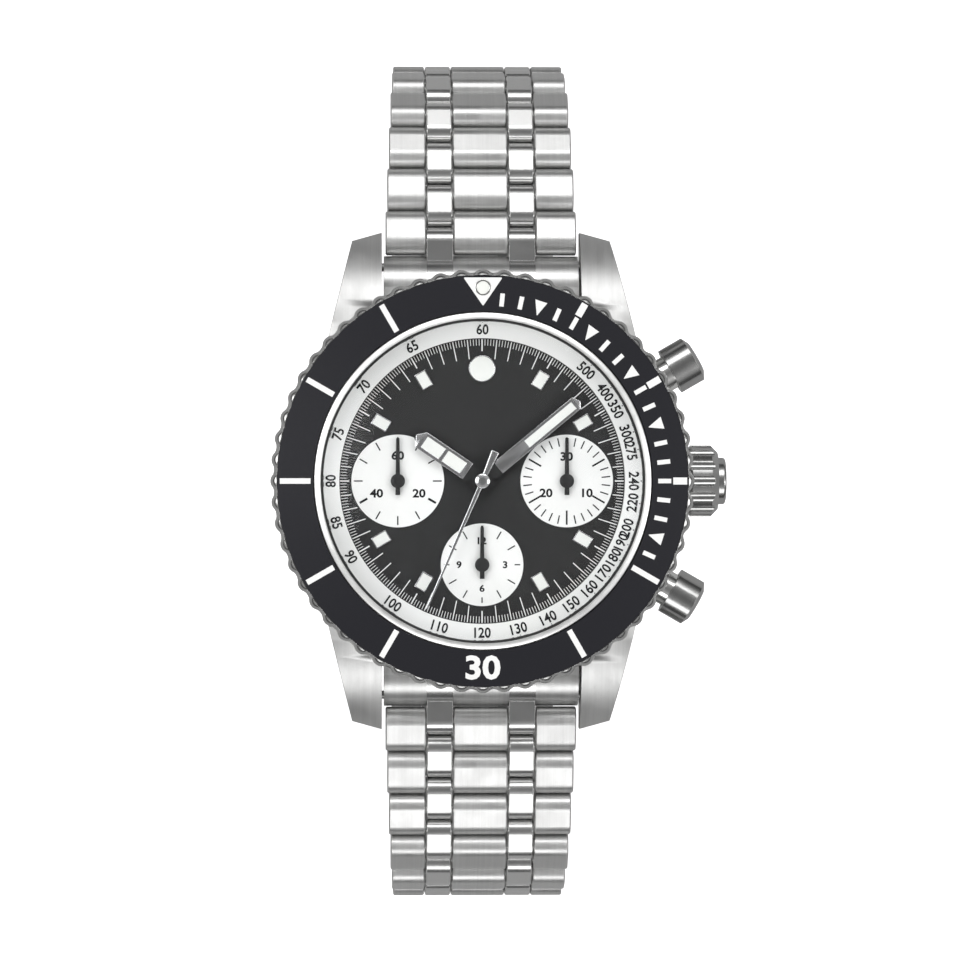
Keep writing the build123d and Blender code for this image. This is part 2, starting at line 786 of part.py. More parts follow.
def make_pusher(name, angle):
    with BuildPart() as pusher:
        with BuildSketch(radial_plane(angle, CAP_IN)):
            Circle(CAP_R)
        extrude(amount=CAP_OUT - CAP_IN)
        with BuildSketch(radial_plane(angle, CAP_OUT)):
            Circle(CAP_R)
        extrude(amount=CAP_DOME, taper=62)
        with BuildSketch(radial_plane(angle, CAP_IN)):
            Circle(PUSHER_TUBE_R + SLACK)
        extrude(amount=1.6, mode=Mode.SUBTRACT)
        with BuildSketch(radial_plane(angle, 13.4)):
            Circle(PUSHER_STEM_R)
        extrude(amount=CAP_OUT - 13.4)
    save(pusher, name)


def make_pusher_springs():
    """A return coil in each cap, between the tube's end and the cap's floor."""
    with BuildPart() as pusher_springs:
        for angle in (PUSHER_ANGLE, -PUSHER_ANGLE):
            base = radial_plane(angle, 22.45)
            coil = Wire([Edge.make_helix(0.34, 1.02, 1.3, center=base.origin, normal=base.z_dir)])
            with BuildSketch(Plane(origin=coil @ 0, z_dir=coil % 0)):
                Circle(0.12)
            sweep(path=coil, is_frenet=True)
    save(pusher_springs, "pusher_springs")


# ---------------------------------------------------------------- bracelet
def row_frames(side):
    """Hinge point, direction and tilt of each row and of the clasp's end, for one side."""
    y, z = FIRST_HINGE
    frames = []
    for tilt in TILTS:
        a = math.radians(tilt)
        frames.append((Vector(0, side * y, z), Vector(0, side * math.cos(a), -math.sin(a))))
        y += PITCH * math.cos(a)
        z -= PITCH * math.sin(a)
    return frames, Vector(0, side * y, z)


def link_plane(hinge, along, side, shift):
    """Plane for a link's side outline: local X along the row, local Y outwards."""
    return Plane(origin=hinge + along * shift, x_dir=along, z_dir=(side, 0, 0))


def columns(outer_w):
    """Middle and width of the wide columns, and of the narrow columns."""
    narrow_at = CENTRE_W / 2 + COLUMN_GAP + NARROW_W / 2
    outer_at = CENTRE_W / 2 + 2 * COLUMN_GAP + NARROW_W + outer_w / 2
    wide = ((0, CENTRE_W), (outer_at, outer_w), (-outer_at, outer_w))
    narrow = ((narrow_at, NARROW_W), (-narrow_at, NARROW_W))
    return wide, narrow


def add_pill(plane, at, width, length):
    """Adds one link, a bar with full-round ends, centred on its column."""
    with BuildSketch(plane.offset(at)) as pill:
        SlotOverall(length, LINK_T)
    extrude(pill.sketch, amount=width / 2, both=True)


def half_width(outer_w):
    """From the bracelet's middle to its edge."""
    return CENTRE_W / 2 + 2 * COLUMN_GAP + NARROW_W + outer_w


def row_width(number):
    """Width of the outer links in a row, counted from the case."""
    return max(OUTER_W_MIN, OUTER_W - TAPER * number)


def cut_pin(plane, radius, half):
    """Cuts a pin's hole through the open part."""
    with BuildSketch(plane) as hole:
        Circle(radius)
    extrude(hole.sketch, amount=half, both=True, mode=Mode.SUBTRACT)


def add_pin(plane, radius, half):
    """Adds a pin, centred on its plane, to the open part."""
    with BuildSketch(plane) as pin:
        Circle(radius)
    extrude(pin.sketch, amount=half, both=True)


def make_row(name, hinge, along, side, outer_w, next_w):
    """Three wide links, two narrow ones a half pitch on, and the two pins that join them."""
    wide, narrow = columns(outer_w)
    length = PITCH - 2 * LINK_GAP
    half = half_width(outer_w) - PIN_SET
    own = link_plane(hinge, along, side, 0)
    wide_mid = link_plane(hinge, along, side, PITCH / 2 - HINGE_IN)
    narrow_mid = link_plane(hinge, along, side, PITCH + LINK_R - length / 2)
    press = link_plane(hinge, along, side, PITCH / 2)
    far = link_plane(hinge, along, side, PITCH)
    with BuildPart() as links:
        for at, width in wide:
            add_pill(wide_mid, at, width, length)
        for at, width in narrow:
            add_pill(narrow_mid, at, width, length)
        chamfer(faces().filter_by(Axis.X).edges(), LINK_EDGE)
        cut_pin(own, PIN_R + FIT, half + FIT)
        cut_pin(press, PIN_R, half)
        cut_pin(far, PIN_R, half)
    with BuildPart() as pins:
        add_pin(press, PIN_R, half)
        if next_w > 0:
            add_pin(far, PIN_R, half_width(next_w) - PIN_SET)
    row = Compound(children=[*links.part.solids(), *pins.part.solids()])
    row.label = name
    export_step(row, f"parts/{name}.step")


def make_rows():
    for side, letter in ((1, "a"), (-1, "b")):
        frames, _ = row_frames(side)
        for i, (hinge, along) in enumerate(frames):
            last = side < 0 and i == len(TILTS) - 1
            next_w = 0 if last else row_width(i + 2)
            make_row(f"row_{letter}{i + 1:02d}", hinge, along, side, row_width(i + 1), next_w)


def end_link_body(side):
    """One solid end link between the lugs, with its two narrow tongues."""
    wide, narrow = columns(OUTER_W)
    y, z = FIRST_HINGE
    edge = y - HINGE_IN - LINK_GAP
    level = link_plane(Vector(0, side * y, z), Vector(0, side, 0), side, 0)
    half = half_width(OUTER_W)
    with BuildPart() as body:
        with BuildSketch(Plane(origin=(0, 0, 0), x_dir=(0, side, 0), z_dir=(side, 0, 0))):
            with BuildLine():
                Polyline((16.5, z - LINK_R), (16.5, z + LINK_R + 1.8), (19.5, z + LINK_R + 1.4))
                ThreePointArc((19.5, z + LINK_R + 1.4), (21.6, z + LINK_R + 0.7), (edge, z + 0.2))
                ThreePointArc((edge, z + 0.2), (edge - 0.35, z - LINK_R + 0.4), (edge - 1.4, z - LINK_R))
                Line((edge - 1.4, z - LINK_R), (16.5, z - LINK_R))
            make_face()
        extrude(amount=half, both=True)
        with BuildSketch(Plane.XY):
            Circle(CASE_R + 0.15)
        extrude(amount=12, mode=Mode.SUBTRACT)
        tongue = link_plane(level.origin, Vector(0, side, 0), side, LINK_R - 2.4)
        for at, width in narrow:
            add_pill(tongue, at, width, 4.8)
        cut_pin(level, PIN_R, half)
        bar = Plane(origin=(0, side * BAR_Y, BAR_Z), z_dir=(1, 0, 0))
        cut_pin(bar, BAR_R, half + 1)
    return body.part.solids()


def make_end_links():
    pieces = []
    for side in (1, -1):
        pieces.extend(end_link_body(side))
        with BuildPart() as bars:
            with BuildSketch(Plane(origin=(0, side * BAR_Y, BAR_Z), z_dir=(1, 0, 0))):
                Circle(BAR_R)
            extrude(amount=half_width(OUTER_W), both=True)
            with BuildSketch(Plane(origin=(0, side * BAR_Y, BAR_Z), z_dir=(1, 0, 0))):
                Circle(0.42)
            extrude(amount=LUG_GAP / 2 + 1.6, both=True)
            y, z = FIRST_HINGE
            with BuildSketch(Plane(origin=(0, side * y, z), z_dir=(1, 0, 0))):
                Circle(PIN_R)
            extrude(amount=half_width(row_width(1)) - PIN_SET, both=True)
        pieces.extend(bars.part.solids())
    end_links = Compound(children=pieces)
    end_links.label = "end_links"
    export_step(end_links, "parts/end_links.step")


# ---------------------------------------------------------------- clasp
def clasp_level():
    """Distance from the middle and height of the clasp's two end bars."""
    _, end = row_frames(1)
    return end.Y, end.Z


def side_plane(y, z, x=0.0):
    """Vertical plane along the bracelet with local X to +Y and local Y up."""
    return Plane(origin=(x, y, z), x_dir=(0, 1, 0), z_dir=(1, 0, 0))


def add_knuckles(y, z, radius, spans):
    """Adds hinge knuckles to the open part, each over one span of X."""
    for low, high in spans:
        with BuildSketch(side_plane(y, z, low)) as knuckle:
            Circle(radius)
        extrude(knuckle.sketch, amount=high - low)


def add_slab(x_span, y_span, z_low, thick, mode=Mode.ADD):
    """Adds a flat plate to the open part."""
    with BuildSketch(Plane.XY.offset(z_low)) as slab:
        with Locations((sum(x_span) / 2, sum(y_span) / 2)):
            Rectangle(x_span[1] - x_span[0], y_span[1] - y_span[0])
    extrude(slab.sketch, amount=thick, mode=mode)


def end_spans():
    """X spans of the clasp's end knuckles: the wide columns of the last row."""
    wide, _ = columns(OUTER_W_MIN)
    return [(at - width / 2, at + width / 2) for at, width in wide]


def make_clasp_cover():
    """Outer shell: side walls, bottom plate and the knuckles of both its hinges."""
    y, z = clasp_level()
    low = z - LINK_R - COVER_T
    knee = z - KNUCKLE_DROP
    end = LINK_R + 0.15
    inner = COVER_HALF - COVER_WALL
    spans = end_spans()
    with BuildPart() as shell:
        add_slab((-COVER_HALF, COVER_HALF), (-y + end, FLAP_Y), low, COVER_T)
        for x in (inner, -COVER_HALF):
            with BuildSketch(side_plane(0, 0, x)):
                with BuildLine():
                    Polyline(
                        (-y + end, low),
                        (FLAP_Y, low),
                        (FLAP_Y, low + COVER_T + SLACK),
                        (COVER_HINGE_Y, low + COVER_T + SLACK),
                        (COVER_HINGE_Y + KNUCKLE_R, knee),
                        (COVER_HINGE_Y, knee + KNUCKLE_R),
                        (-y + end, z + KNUCKLE_R),
                        close=True,
                    )
                make_face()
            extrude(amount=COVER_WALL)
        add_knuckles(-y, z, LINK_R, spans)
        for span in spans:
            add_slab(span, (-y, -y + end + 0.6), low, COVER_T + 0.5)
        add_knuckles(COVER_HINGE_Y, knee, KNUCKLE_R, ((3.1, inner), (-inner, -3.1)))
        cut_pin(side_plane(-y, z), PIN_R, COVER_HALF)
        cut_pin(side_plane(COVER_HINGE_Y, knee), LEAF_PIN_R, COVER_HALF)
        add_knuckles(*flap_pivot(), FLAP_KNUCKLE_R, ((inner, COVER_HALF), (-COVER_HALF, -inner)))
        cut_pin(side_plane(*flap_pivot()), 0.25 + FIT, COVER_HALF)
    with BuildPart() as pins:
        add_pin(side_plane(COVER_HINGE_Y, knee), LEAF_PIN_R, COVER_HALF - 0.1)
        for low_x, high_x in spans:
            with BuildSketch(side_plane(-y, z, low_x)):
                Circle(PIN_R)
            extrude(amount=high_x - low_x)
    cover = Compound(children=[*shell.part.solids(), *pins.part.solids()])
    cover.label = "clasp_cover"
    export_step(cover, "parts/clasp_cover.step")


def flap_pivot():
    """Where the flap turns, as (y, z)."""
    _, z = clasp_level()
    return FLAP_Y + 0.7, z - LINK_R - COVER_T + FLAP_KNUCKLE_R


def make_clasp_flap():
    """Fold-over safety flap, in line with the cover's plate."""
    y, z = flap_pivot()
    low = z - FLAP_KNUCKLE_R
    inner = COVER_HALF - COVER_WALL - SLACK
    with BuildPart() as clasp_flap:
        add_slab((-COVER_HALF, COVER_HALF), (y + 0.7, COVER_HINGE_Y + 0.3), low, COVER_T)
        chamfer(faces().sort_by(Axis.Y)[-1].edges().filter_by(Axis.X), 0.25)
        add_slab((-inner, inner), (y, y + 0.9), low, COVER_T)
        add_knuckles(y, z, FLAP_KNUCKLE_R, ((-inner, inner),))
        add_knuckles(y, z, 0.25, ((-COVER_HALF + 0.1, COVER_HALF - 0.1),))
    save(clasp_flap, "clasp_flap")


def make_clasp_leaf():
    """Middle leaf, from the cover's far hinge back to the inner leaf's hinge."""
    _, z = clasp_level()
    knee = z - KNUCKLE_DROP
    base = knee - LEAF_T / 2
    with BuildPart() as leaf_plate:
        add_slab((-3.0, 3.0), (LEAF_HINGE_Y, COVER_HINGE_Y), base, LEAF_T)
        add_slab((-5.2, 5.2), (LEAF_HINGE_Y + 3, COVER_HINGE_Y - 3), base, LEAF_T)
        add_knuckles(LEAF_HINGE_Y, knee, KNUCKLE_R, ((-3.0, 3.0),))
        add_knuckles(COVER_HINGE_Y, knee, KNUCKLE_R, ((-3.0, 3.0),))
        cut_pin(side_plane(LEAF_HINGE_Y, knee), LEAF_PIN_R, 4)
        cut_pin(side_plane(COVER_HINGE_Y, knee), LEAF_PIN_R + FIT, 4)
    with BuildPart() as pin:
        add_pin(side_plane(LEAF_HINGE_Y, knee), LEAF_PIN_R, 5.4)
    leaf = Compound(children=[*leaf_plate.part.solids(), *pin.part.solids()])
    leaf.label = "clasp_leaf"
    export_step(leaf, "parts/clasp_leaf.step")


def make_clasp_inner_leaf():
    """Wrist-side leaf, pinned to the last row at one end and to the middle leaf at the other."""
    y, z = clasp_level()
    knee = z - KNUCKLE_DROP
    top = z + LINK_R
    with BuildPart() as clasp_inner_leaf:
        add_slab((-LEAF_HALF, LEAF_HALF), (LEAF_HINGE_Y, y - LINK_R - 0.2), top - LEAF_T, LEAF_T)
        for span in end_spans():
            add_knuckles(y, z, LINK_R, (span,))
            reach = (max(span[0], -LEAF_HALF), min(span[1], LEAF_HALF))
            add_slab(reach, (y - LINK_R - 0.3, y), top - LEAF_T, LEAF_T)
        for low_x, high_x in ((3.1, 5.6), (-5.6, -3.1)):
            add_knuckles(LEAF_HINGE_Y, knee, KNUCKLE_R, ((low_x, high_x),))
            cheek = (LEAF_HINGE_Y - KNUCKLE_R, LEAF_HINGE_Y + KNUCKLE_R)
            add_slab((low_x, high_x), cheek, knee, top - knee)
        cut_pin(side_plane(y, z), PIN_R + FIT, 9)
        cut_pin(side_plane(LEAF_HINGE_Y, knee), LEAF_PIN_R + FIT, 6)
    save(clasp_inner_leaf, "clasp_inner_leaf")


if __name__ == "__main__":
    make_mid_case()
    make_case_back()
    make_gaskets()
    make_crystal()
    make_tachymeter_ring()
    make_dial_plate()
    make_case_tubes()
    make_bezel_ring()
    make_bezel_insert()
    make_click_spring()
    make_hour_hand()
    make_minute_hand()
    make_chrono_hand()
    make_sub_hand("seconds_hand", SECONDS_AT, 4.3, 3.2, 50)
    make_sub_hand("minute_counter_hand", MINUTES_AT, 4.3, 3.0, 48)
    make_sub_hand("hour_counter_hand", HOURS_AT, 3.9, 3.0, 48)
    make_main_plate()
    make_bridges()
    make_jewels()
    make_movement_screws()
    make_movement_ring()
    make_barrel()
    make_centre_wheel()
    make_balance_wheel()
    make_rotor()
    make_crown()
    make_winding_stem()
    make_winding_pinion()
    make_pusher("pusher_upper", PUSHER_ANGLE)
    make_pusher("pusher_lower", -PUSHER_ANGLE)
    make_pusher_springs()
    make_rows()
    make_end_links()
    make_clasp_cover()
    make_clasp_flap()
    make_clasp_leaf()
    make_clasp_inner_leaf()
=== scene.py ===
"""Looks of a steel chronograph wristwatch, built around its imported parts.

The file is laid out as an add-on with one operator for each piece or group of like pieces.
Lengths inside the mesh functions are in millimetres, and piece() turns them into metres.
"""

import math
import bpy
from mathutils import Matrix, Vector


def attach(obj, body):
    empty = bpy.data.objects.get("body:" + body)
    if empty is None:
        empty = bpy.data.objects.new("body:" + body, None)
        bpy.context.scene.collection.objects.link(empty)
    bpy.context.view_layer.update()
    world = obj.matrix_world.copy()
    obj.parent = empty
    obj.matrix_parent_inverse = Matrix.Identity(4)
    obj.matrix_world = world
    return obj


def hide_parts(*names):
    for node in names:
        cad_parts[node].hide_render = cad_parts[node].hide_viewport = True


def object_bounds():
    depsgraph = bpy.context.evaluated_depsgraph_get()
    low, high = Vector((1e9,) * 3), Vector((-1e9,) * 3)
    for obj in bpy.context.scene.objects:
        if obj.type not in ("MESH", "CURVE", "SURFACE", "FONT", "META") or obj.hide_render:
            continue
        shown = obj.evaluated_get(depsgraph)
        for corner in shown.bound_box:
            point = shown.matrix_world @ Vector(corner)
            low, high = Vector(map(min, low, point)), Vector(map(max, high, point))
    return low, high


bl_info = {
    "name": "Chronograph wristwatch",
    "version": (1, 0, 0),
    "blender": (4, 5, 0),
    "location": "View3D > Sidebar > Watch",
    "description": "Builds the dial, markings, hands, finishes and studio of a chronograph wristwatch",
    "category": "Object",
}

import bmesh
import bpy
from bpy.props import FloatProperty, FloatVectorProperty, PointerProperty
from mathutils import Matrix, Vector

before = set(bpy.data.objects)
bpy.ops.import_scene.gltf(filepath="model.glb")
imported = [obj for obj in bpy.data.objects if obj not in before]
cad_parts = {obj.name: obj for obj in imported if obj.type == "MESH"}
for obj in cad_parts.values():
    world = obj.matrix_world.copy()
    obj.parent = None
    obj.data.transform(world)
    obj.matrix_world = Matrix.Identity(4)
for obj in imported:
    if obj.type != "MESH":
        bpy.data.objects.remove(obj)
CAD_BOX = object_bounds()

MM = 0.001
TAU = 2 * math.pi

# Heights and radii of the seats that printed and applied details lie on.
DIAL_TOP = 8.35
SUB_FLOOR = 8.23
TACHY_IN = (14.2, 9.35)
TACHY_OUT = (16.1, 10.4)
INSERT_IN = (16.85, 12.15)
INSERT_OUT = (20.4, 11.8)
CRYSTAL_R = 15.85
CRYSTAL_FLOOR = 10.45
CRYSTAL_EDGE = 12.2
CRYSTAL_TOP = 13.9
CRYSTAL_UNDER = 12.0

# Centre, radius and body of each counter.
SECONDS = {"spot": (-8.4, 0.0), "radius": 4.65, "body": "seconds"}
MINUTES = {"spot": (8.45, 0.0), "radius": 4.65, "body": "minute_counter"}
HOURS = {"spot": (0.0, -8.35), "radius": 4.15, "body": "hour_counter"}

HOUR_ANGLE = 304.0
MINUTE_ANGLE = 50.4
CHRONO_ANGLE = 203.6

# In metres: the point of the dial that the camera looks at, and how far the camera stands to the left.
AIM = (-0.0002, 0.0001)
CAMERA_ASIDE = 0.012
SENSOR = 36.0

# Vertices nearer than WELD are one, and faces within FLAT degrees of each other are one.
WELD = 0.0005
FLAT = 0.8
LUG_BEVEL = 0.5


# ------------------------------------------------------------------ node helpers
def add(tree, kind, inputs=None, **settings):
    """A shader node with its settings and inputs. An input is a value or another node's socket."""
    made = tree.nodes.new("ShaderNode" + kind)
    for name, value in settings.items():
        setattr(made, name, value)
    for name, value in (inputs or {}).items():
        socket = made.inputs[name]
        if isinstance(value, bpy.types.NodeSocket):
            tree.links.new(value, socket)
        else:
            socket.default_value = value
    return made


def math_node(tree, operation, first, second=0.0, third=0.0):
    made = add(tree, "Math", {0: first, 1: second, 2: third}, operation=operation)
    return made.outputs[0]


def ranged(tree, value, low_in, high_in, low_out, high_out):
    """value moved from one range to another, and kept inside it."""
    made = add(
        tree,
        "MapRange",
        {"Value": value, "From Min": low_in, "From Max": high_in, "To Min": low_out, "To Max": high_out},
    )
    return made.outputs["Result"]


def mixed(tree, factor, first, second):
    """The colour between first and second."""
    made = add(tree, "Mix", {0: factor, 6: first, 7: second}, data_type="RGBA")
    return made.outputs[2]


def mixed_value(tree, factor, first, second):
    made = add(tree, "Mix", {0: factor, 2: first, 3: second}, data_type="FLOAT")
    return made.outputs[0]


def rgba(colour, share=1.0):
    return (colour[0] * share, colour[1] * share, colour[2] * share, 1.0)


def new_group(name, inputs, outputs):
    """An empty node group, with (socket type, name, default) inputs and float outputs."""
    group = bpy.data.node_groups.new(name, "ShaderNodeTree")
    for kind, label, default in inputs:
        socket = group.interface.new_socket(label, in_out="INPUT", socket_type=kind)
        socket.default_value = default
    for label in outputs:
        group.interface.new_socket(label, in_out="OUTPUT", socket_type="NodeSocketFloat")
    return group, group.nodes.new("NodeGroupInput"), group.nodes.new("NodeGroupOutput")


def use_group(tree, name, inputs=None):
    """A group placed in a material, built on first use."""
    group = bpy.data.node_groups.get(name) or GROUPS[name](name)
    made = tree.nodes.new("ShaderNodeGroup")
    made.node_tree = group
    for label, value in (inputs or {}).items():
        made.inputs[label].default_value = value
    return made.outputs


def build_grain(name):
    """Long fine lines, as left by a brushing belt. Stretch gives lines per metre along each axis."""
    group, given, out = new_group(
        name,
        [("NodeSocketVector", "Stretch", (9000.0, 150.0, 150.0))],
        ["Lines", "Bands"],
    )
    coords = add(group, "TexCoord").outputs["Object"]
    scaled = add(
        group, "VectorMath", {0: coords, 1: given.outputs["Stretch"]}, operation="MULTIPLY"
    ).outputs[0]
    fine = add(group, "TexNoise", {"Vector": scaled, "Scale": 1.0, "Detail": 4.0, "Roughness": 0.7})
    wide = add(group, "TexNoise", {"Vector": scaled, "Scale": 0.23, "Detail": 2.0})
    group.links.new(ranged(group, fine.outputs["Fac"], 0.3, 0.7, 0.0, 1.0), out.inputs["Lines"])
    group.links.new(ranged(group, wide.outputs["Fac"], 0.3, 0.7, 0.0, 1.0), out.inputs["Bands"])
    return group


def build_handling(name):
    """Faint cloudy smudges and a few hairline marks, as wear leaves them."""
    group, given, out = new_group(
        name,
        [("NodeSocketFloat", "Scale", 220.0)],
        ["Smudge", "Marks"],
    )
    coords = add(group, "TexCoord").outputs["Object"]
    cloud = add(
        group,
        "TexNoise",
        {"Vector": coords, "Scale": given.outputs["Scale"], "Detail": 3.0, "Distortion": 0.6},
    )
    fine_scale = math_node(group, "MULTIPLY", given.outputs["Scale"], 9.0)
    scratch = add(
        group,
        "TexNoise",
        {"Vector": coords, "Scale": fine_scale, "Detail": 6.0, "Distortion": 2.5},
    )
    group.links.new(ranged(group, cloud.outputs["Fac"], 0.35, 0.7, 0.0, 1.0), out.inputs["Smudge"])
    group.links.new(
        ranged(group, scratch.outputs["Fac"], 0.62, 0.72, 0.0, 1.0), out.inputs["Marks"]
    )
    return group


def build_edge_wear(name):
    """One along convex and concave edges, fading over Width metres. The materials lighten their colour by it,
    partly as wear and partly as a painted edge highlight.
    """
    group, given, out = new_group(name, [("NodeSocketFloat", "Width", 0.00012)], ["Edge"])
    rounded = add(group, "Bevel", {"Radius": given.outputs["Width"]}, samples=4)
    plain = add(group, "NewGeometry").outputs["Normal"]
    along = add(
        group, "VectorMath", {0: rounded.outputs["Normal"], 1: plain}, operation="DOT_PRODUCT"
    ).outputs["Value"]
    group.links.new(ranged(group, along, 0.995, 0.85, 0.0, 1.0), out.inputs["Edge"])
    return group


def build_speckle(name):
    """The fine tooth of lacquer, enamel, rubber or luminous paint."""
    group, given, out = new_group(
        name, [("NodeSocketFloat", "Scale", 9000.0)], ["Tooth", "Cloud"]
    )
    coords = add(group, "TexCoord").outputs["Object"]
    tooth = add(group, "TexNoise", {"Vector": coords, "Scale": given.outputs["Scale"], "Detail": 3.0})
    wide_scale = math_node(group, "MULTIPLY", given.outputs["Scale"], 0.04)
    cloud = add(group, "TexNoise", {"Vector": coords, "Scale": wide_scale, "Detail": 3.0})
    group.links.new(ranged(group, tooth.outputs["Fac"], 0.3, 0.7, 0.0, 1.0), out.inputs["Tooth"])
    group.links.new(ranged(group, cloud.outputs["Fac"], 0.3, 0.7, 0.0, 1.0), out.inputs["Cloud"])
    return group


GROUPS = {
    "brushed_grain": build_grain,
    "handling_marks": build_handling,
    "edge_sheen_and_wear": build_edge_wear,
    "surface_speckle": build_speckle,
}


# ------------------------------------------------------------------ finishes
def new_material(name):
    made = bpy.data.materials.new(name)
    made.use_nodes = True
    tree = made.node_tree
    tree.nodes.clear()
    shader = add(tree, "BsdfPrincipled")
    add(tree, "OutputMaterial", {"Surface": shader.outputs["BSDF"]})
    return made, tree, shader


def link(tree, socket, shader, name):
    tree.links.new(socket, shader.inputs[name])


def metal(
    name,
    colour,
    roughness,
    stretch=(9000.0, 150.0, 150.0),
    depth=0.35,
    contrast=0.12,
    edge=0.35,
    polished=None,
    relief=None,
    polished_roughness=0.1,
):
    """A metal with a brushed grain, smudges, and edges painted lighter, partly as wear and partly as a painted
    edge highlight.

    polished(tree) gives a mask where the grain stops and the surface is a mirror, and
    relief(tree) gives a height for a decorated finish."""
    made, tree, shader = new_material(name)
    shader.inputs["Metallic"].default_value = 1.0
    grain = use_group(tree, "brushed_grain", {"Stretch": stretch})
    handled = use_group(tree, "handling_marks")
    wear_and_sheen_edges = use_group(tree, "edge_sheen_and_wear")
    lines = grain["Lines"]
    tone = math_node(tree, "MULTIPLY_ADD", grain["Bands"], 0.5, math_node(tree, "MULTIPLY", lines, 0.5))
    dulled = math_node(tree, "ADD", lines, handled["Smudge"])
    rough = math_node(tree, "MULTIPLY_ADD", dulled, roughness * 0.22, roughness * 0.78)
    if polished is not None:
        mask = polished(tree)
        tone = mixed_value(tree, mask, tone, 0.9)
        lines = mixed_value(tree, mask, lines, 0.5)
        shine = math_node(tree, "MULTIPLY_ADD", handled["Smudge"], 0.05, polished_roughness)
        rough = mixed_value(tree, mask, rough, shine)
    tone = math_node(tree, "SUBTRACT", tone, math_node(tree, "MULTIPLY", handled["Marks"], 0.35))
    base = mixed(tree, tone, rgba(colour, 1 - contrast), rgba(colour, 1 + contrast * 0.3))
    # Painted edge highlight, partly wear: along convex and concave edges the colour is raised towards 1.35
    # times the steel's.
    edge_share = math_node(tree, "MULTIPLY", wear_and_sheen_edges["Edge"], edge)
    lit = mixed(tree, edge_share, base, rgba([min(1.0, c * 1.35) for c in colour]))
    link(tree, lit, shader, "Base Color")
    link(tree, rough, shader, "Roughness")
    height = lines
    if relief is not None:
        height = math_node(tree, "MULTIPLY_ADD", relief(tree), 6.0, lines)
    round_edge = add(tree, "Bevel", {"Radius": 0.00006}, samples=3).outputs["Normal"]
    bump = add(
        tree, "Bump", {"Strength": depth, "Distance": 0.00002, "Height": height, "Normal": round_edge}
    )
    link(tree, bump.outputs["Normal"], shader, "Normal")
    return made


def coating(name, colour, roughness, grit=9000.0, depth=0.2, variety=0.12, coat=0.0, specular=0.5, edge=0.0):
    """Lacquer, enamel, paint, print or rubber."""
    made, tree, shader = new_material(name)
    speckle = use_group(tree, "surface_speckle", {"Scale": grit})
    handled = use_group(tree, "handling_marks")
    tone = math_node(
        tree, "MULTIPLY_ADD", speckle["Cloud"], 0.6, math_node(tree, "MULTIPLY", speckle["Tooth"], 0.4)
    )
    base = mixed(tree, tone, rgba(colour, 1 - variety), rgba([min(1.0, c * (1 + variety / 2)) for c in colour]))
    # edge lightens the colour along convex and concave edges, partly as wear and partly as a painted edge
    # highlight.
    if edge:
        wear_and_sheen_edges = use_group(tree, "edge_sheen_and_wear")
        share = math_node(tree, "MULTIPLY", wear_and_sheen_edges["Edge"], edge)
        base = mixed(tree, share, base, rgba([min(1.0, c * 1.6 + 0.05) for c in colour]))
    link(tree, base, shader, "Base Color")
    rough = math_node(tree, "MULTIPLY_ADD", handled["Smudge"], roughness * 0.35, roughness * 0.8)
    link(tree, rough, shader, "Roughness")
    shader.inputs["Specular IOR Level"].default_value = specular
    shader.inputs["Coat Weight"].default_value = coat
    shader.inputs["Coat Roughness"].default_value = 0.05
    bump = add(tree, "Bump", {"Strength": depth, "Distance": 0.00001, "Height": speckle["Tooth"]})
    link(tree, bump.outputs["Normal"], shader, "Normal")
    return made


def object_axis(tree, axis):
    coords = add(tree, "TexCoord").outputs["Object"]
    return add(tree, "SeparateXYZ", {0: coords}).outputs[axis]


def narrow_columns(tree):
    """Mask of the two polished columns of the bracelet."""
    across = math_node(tree, "ABSOLUTE", object_axis(tree, "X"))
    return math_node(tree, "COMPARE", across, 0.00415, 0.00134)


def above_shoulder(tree):
    """Mask of the case's raised polished rim."""
    return math_node(tree, "GREATER_THAN", object_axis(tree, "Z"), 0.0107)


def water_stripes(tree):
    """Broad parallel ribs across a bridge."""
    slant = math_node(tree, "MULTIPLY", object_axis(tree, "Y"), 0.6)
    across = math_node(tree, "ADD", object_axis(tree, "X"), slant)
    saw = math_node(tree, "FRACT", math_node(tree, "MULTIPLY", across, 700.0))
    return math_node(tree, "SINE", math_node(tree, "MULTIPLY", saw, math.pi))


def pearls(tree):
    """Overlapping round spots ground into a plate."""
    coords = add(tree, "TexCoord").outputs["Object"]
    cells = add(tree, "TexVoronoi", {"Vector": coords, "Scale": 1100.0, "Randomness": 0.15})
    return math_node(tree, "SINE", math_node(tree, "MULTIPLY", cells.outputs["Distance"], 30.0))


def turned_rings(tree):
    """Fine circles round the watch's axis, as a lathe leaves them."""
    radius = math_node(
        tree,
        "SQRT",
        math_node(
            tree,
            "ADD",
            math_node(tree, "POWER", object_axis(tree, "X"), 2.0),
            math_node(tree, "POWER", object_axis(tree, "Y"), 2.0),
        ),
    )
    return math_node(tree, "SINE", math_node(tree, "MULTIPLY", radius, 42000.0))


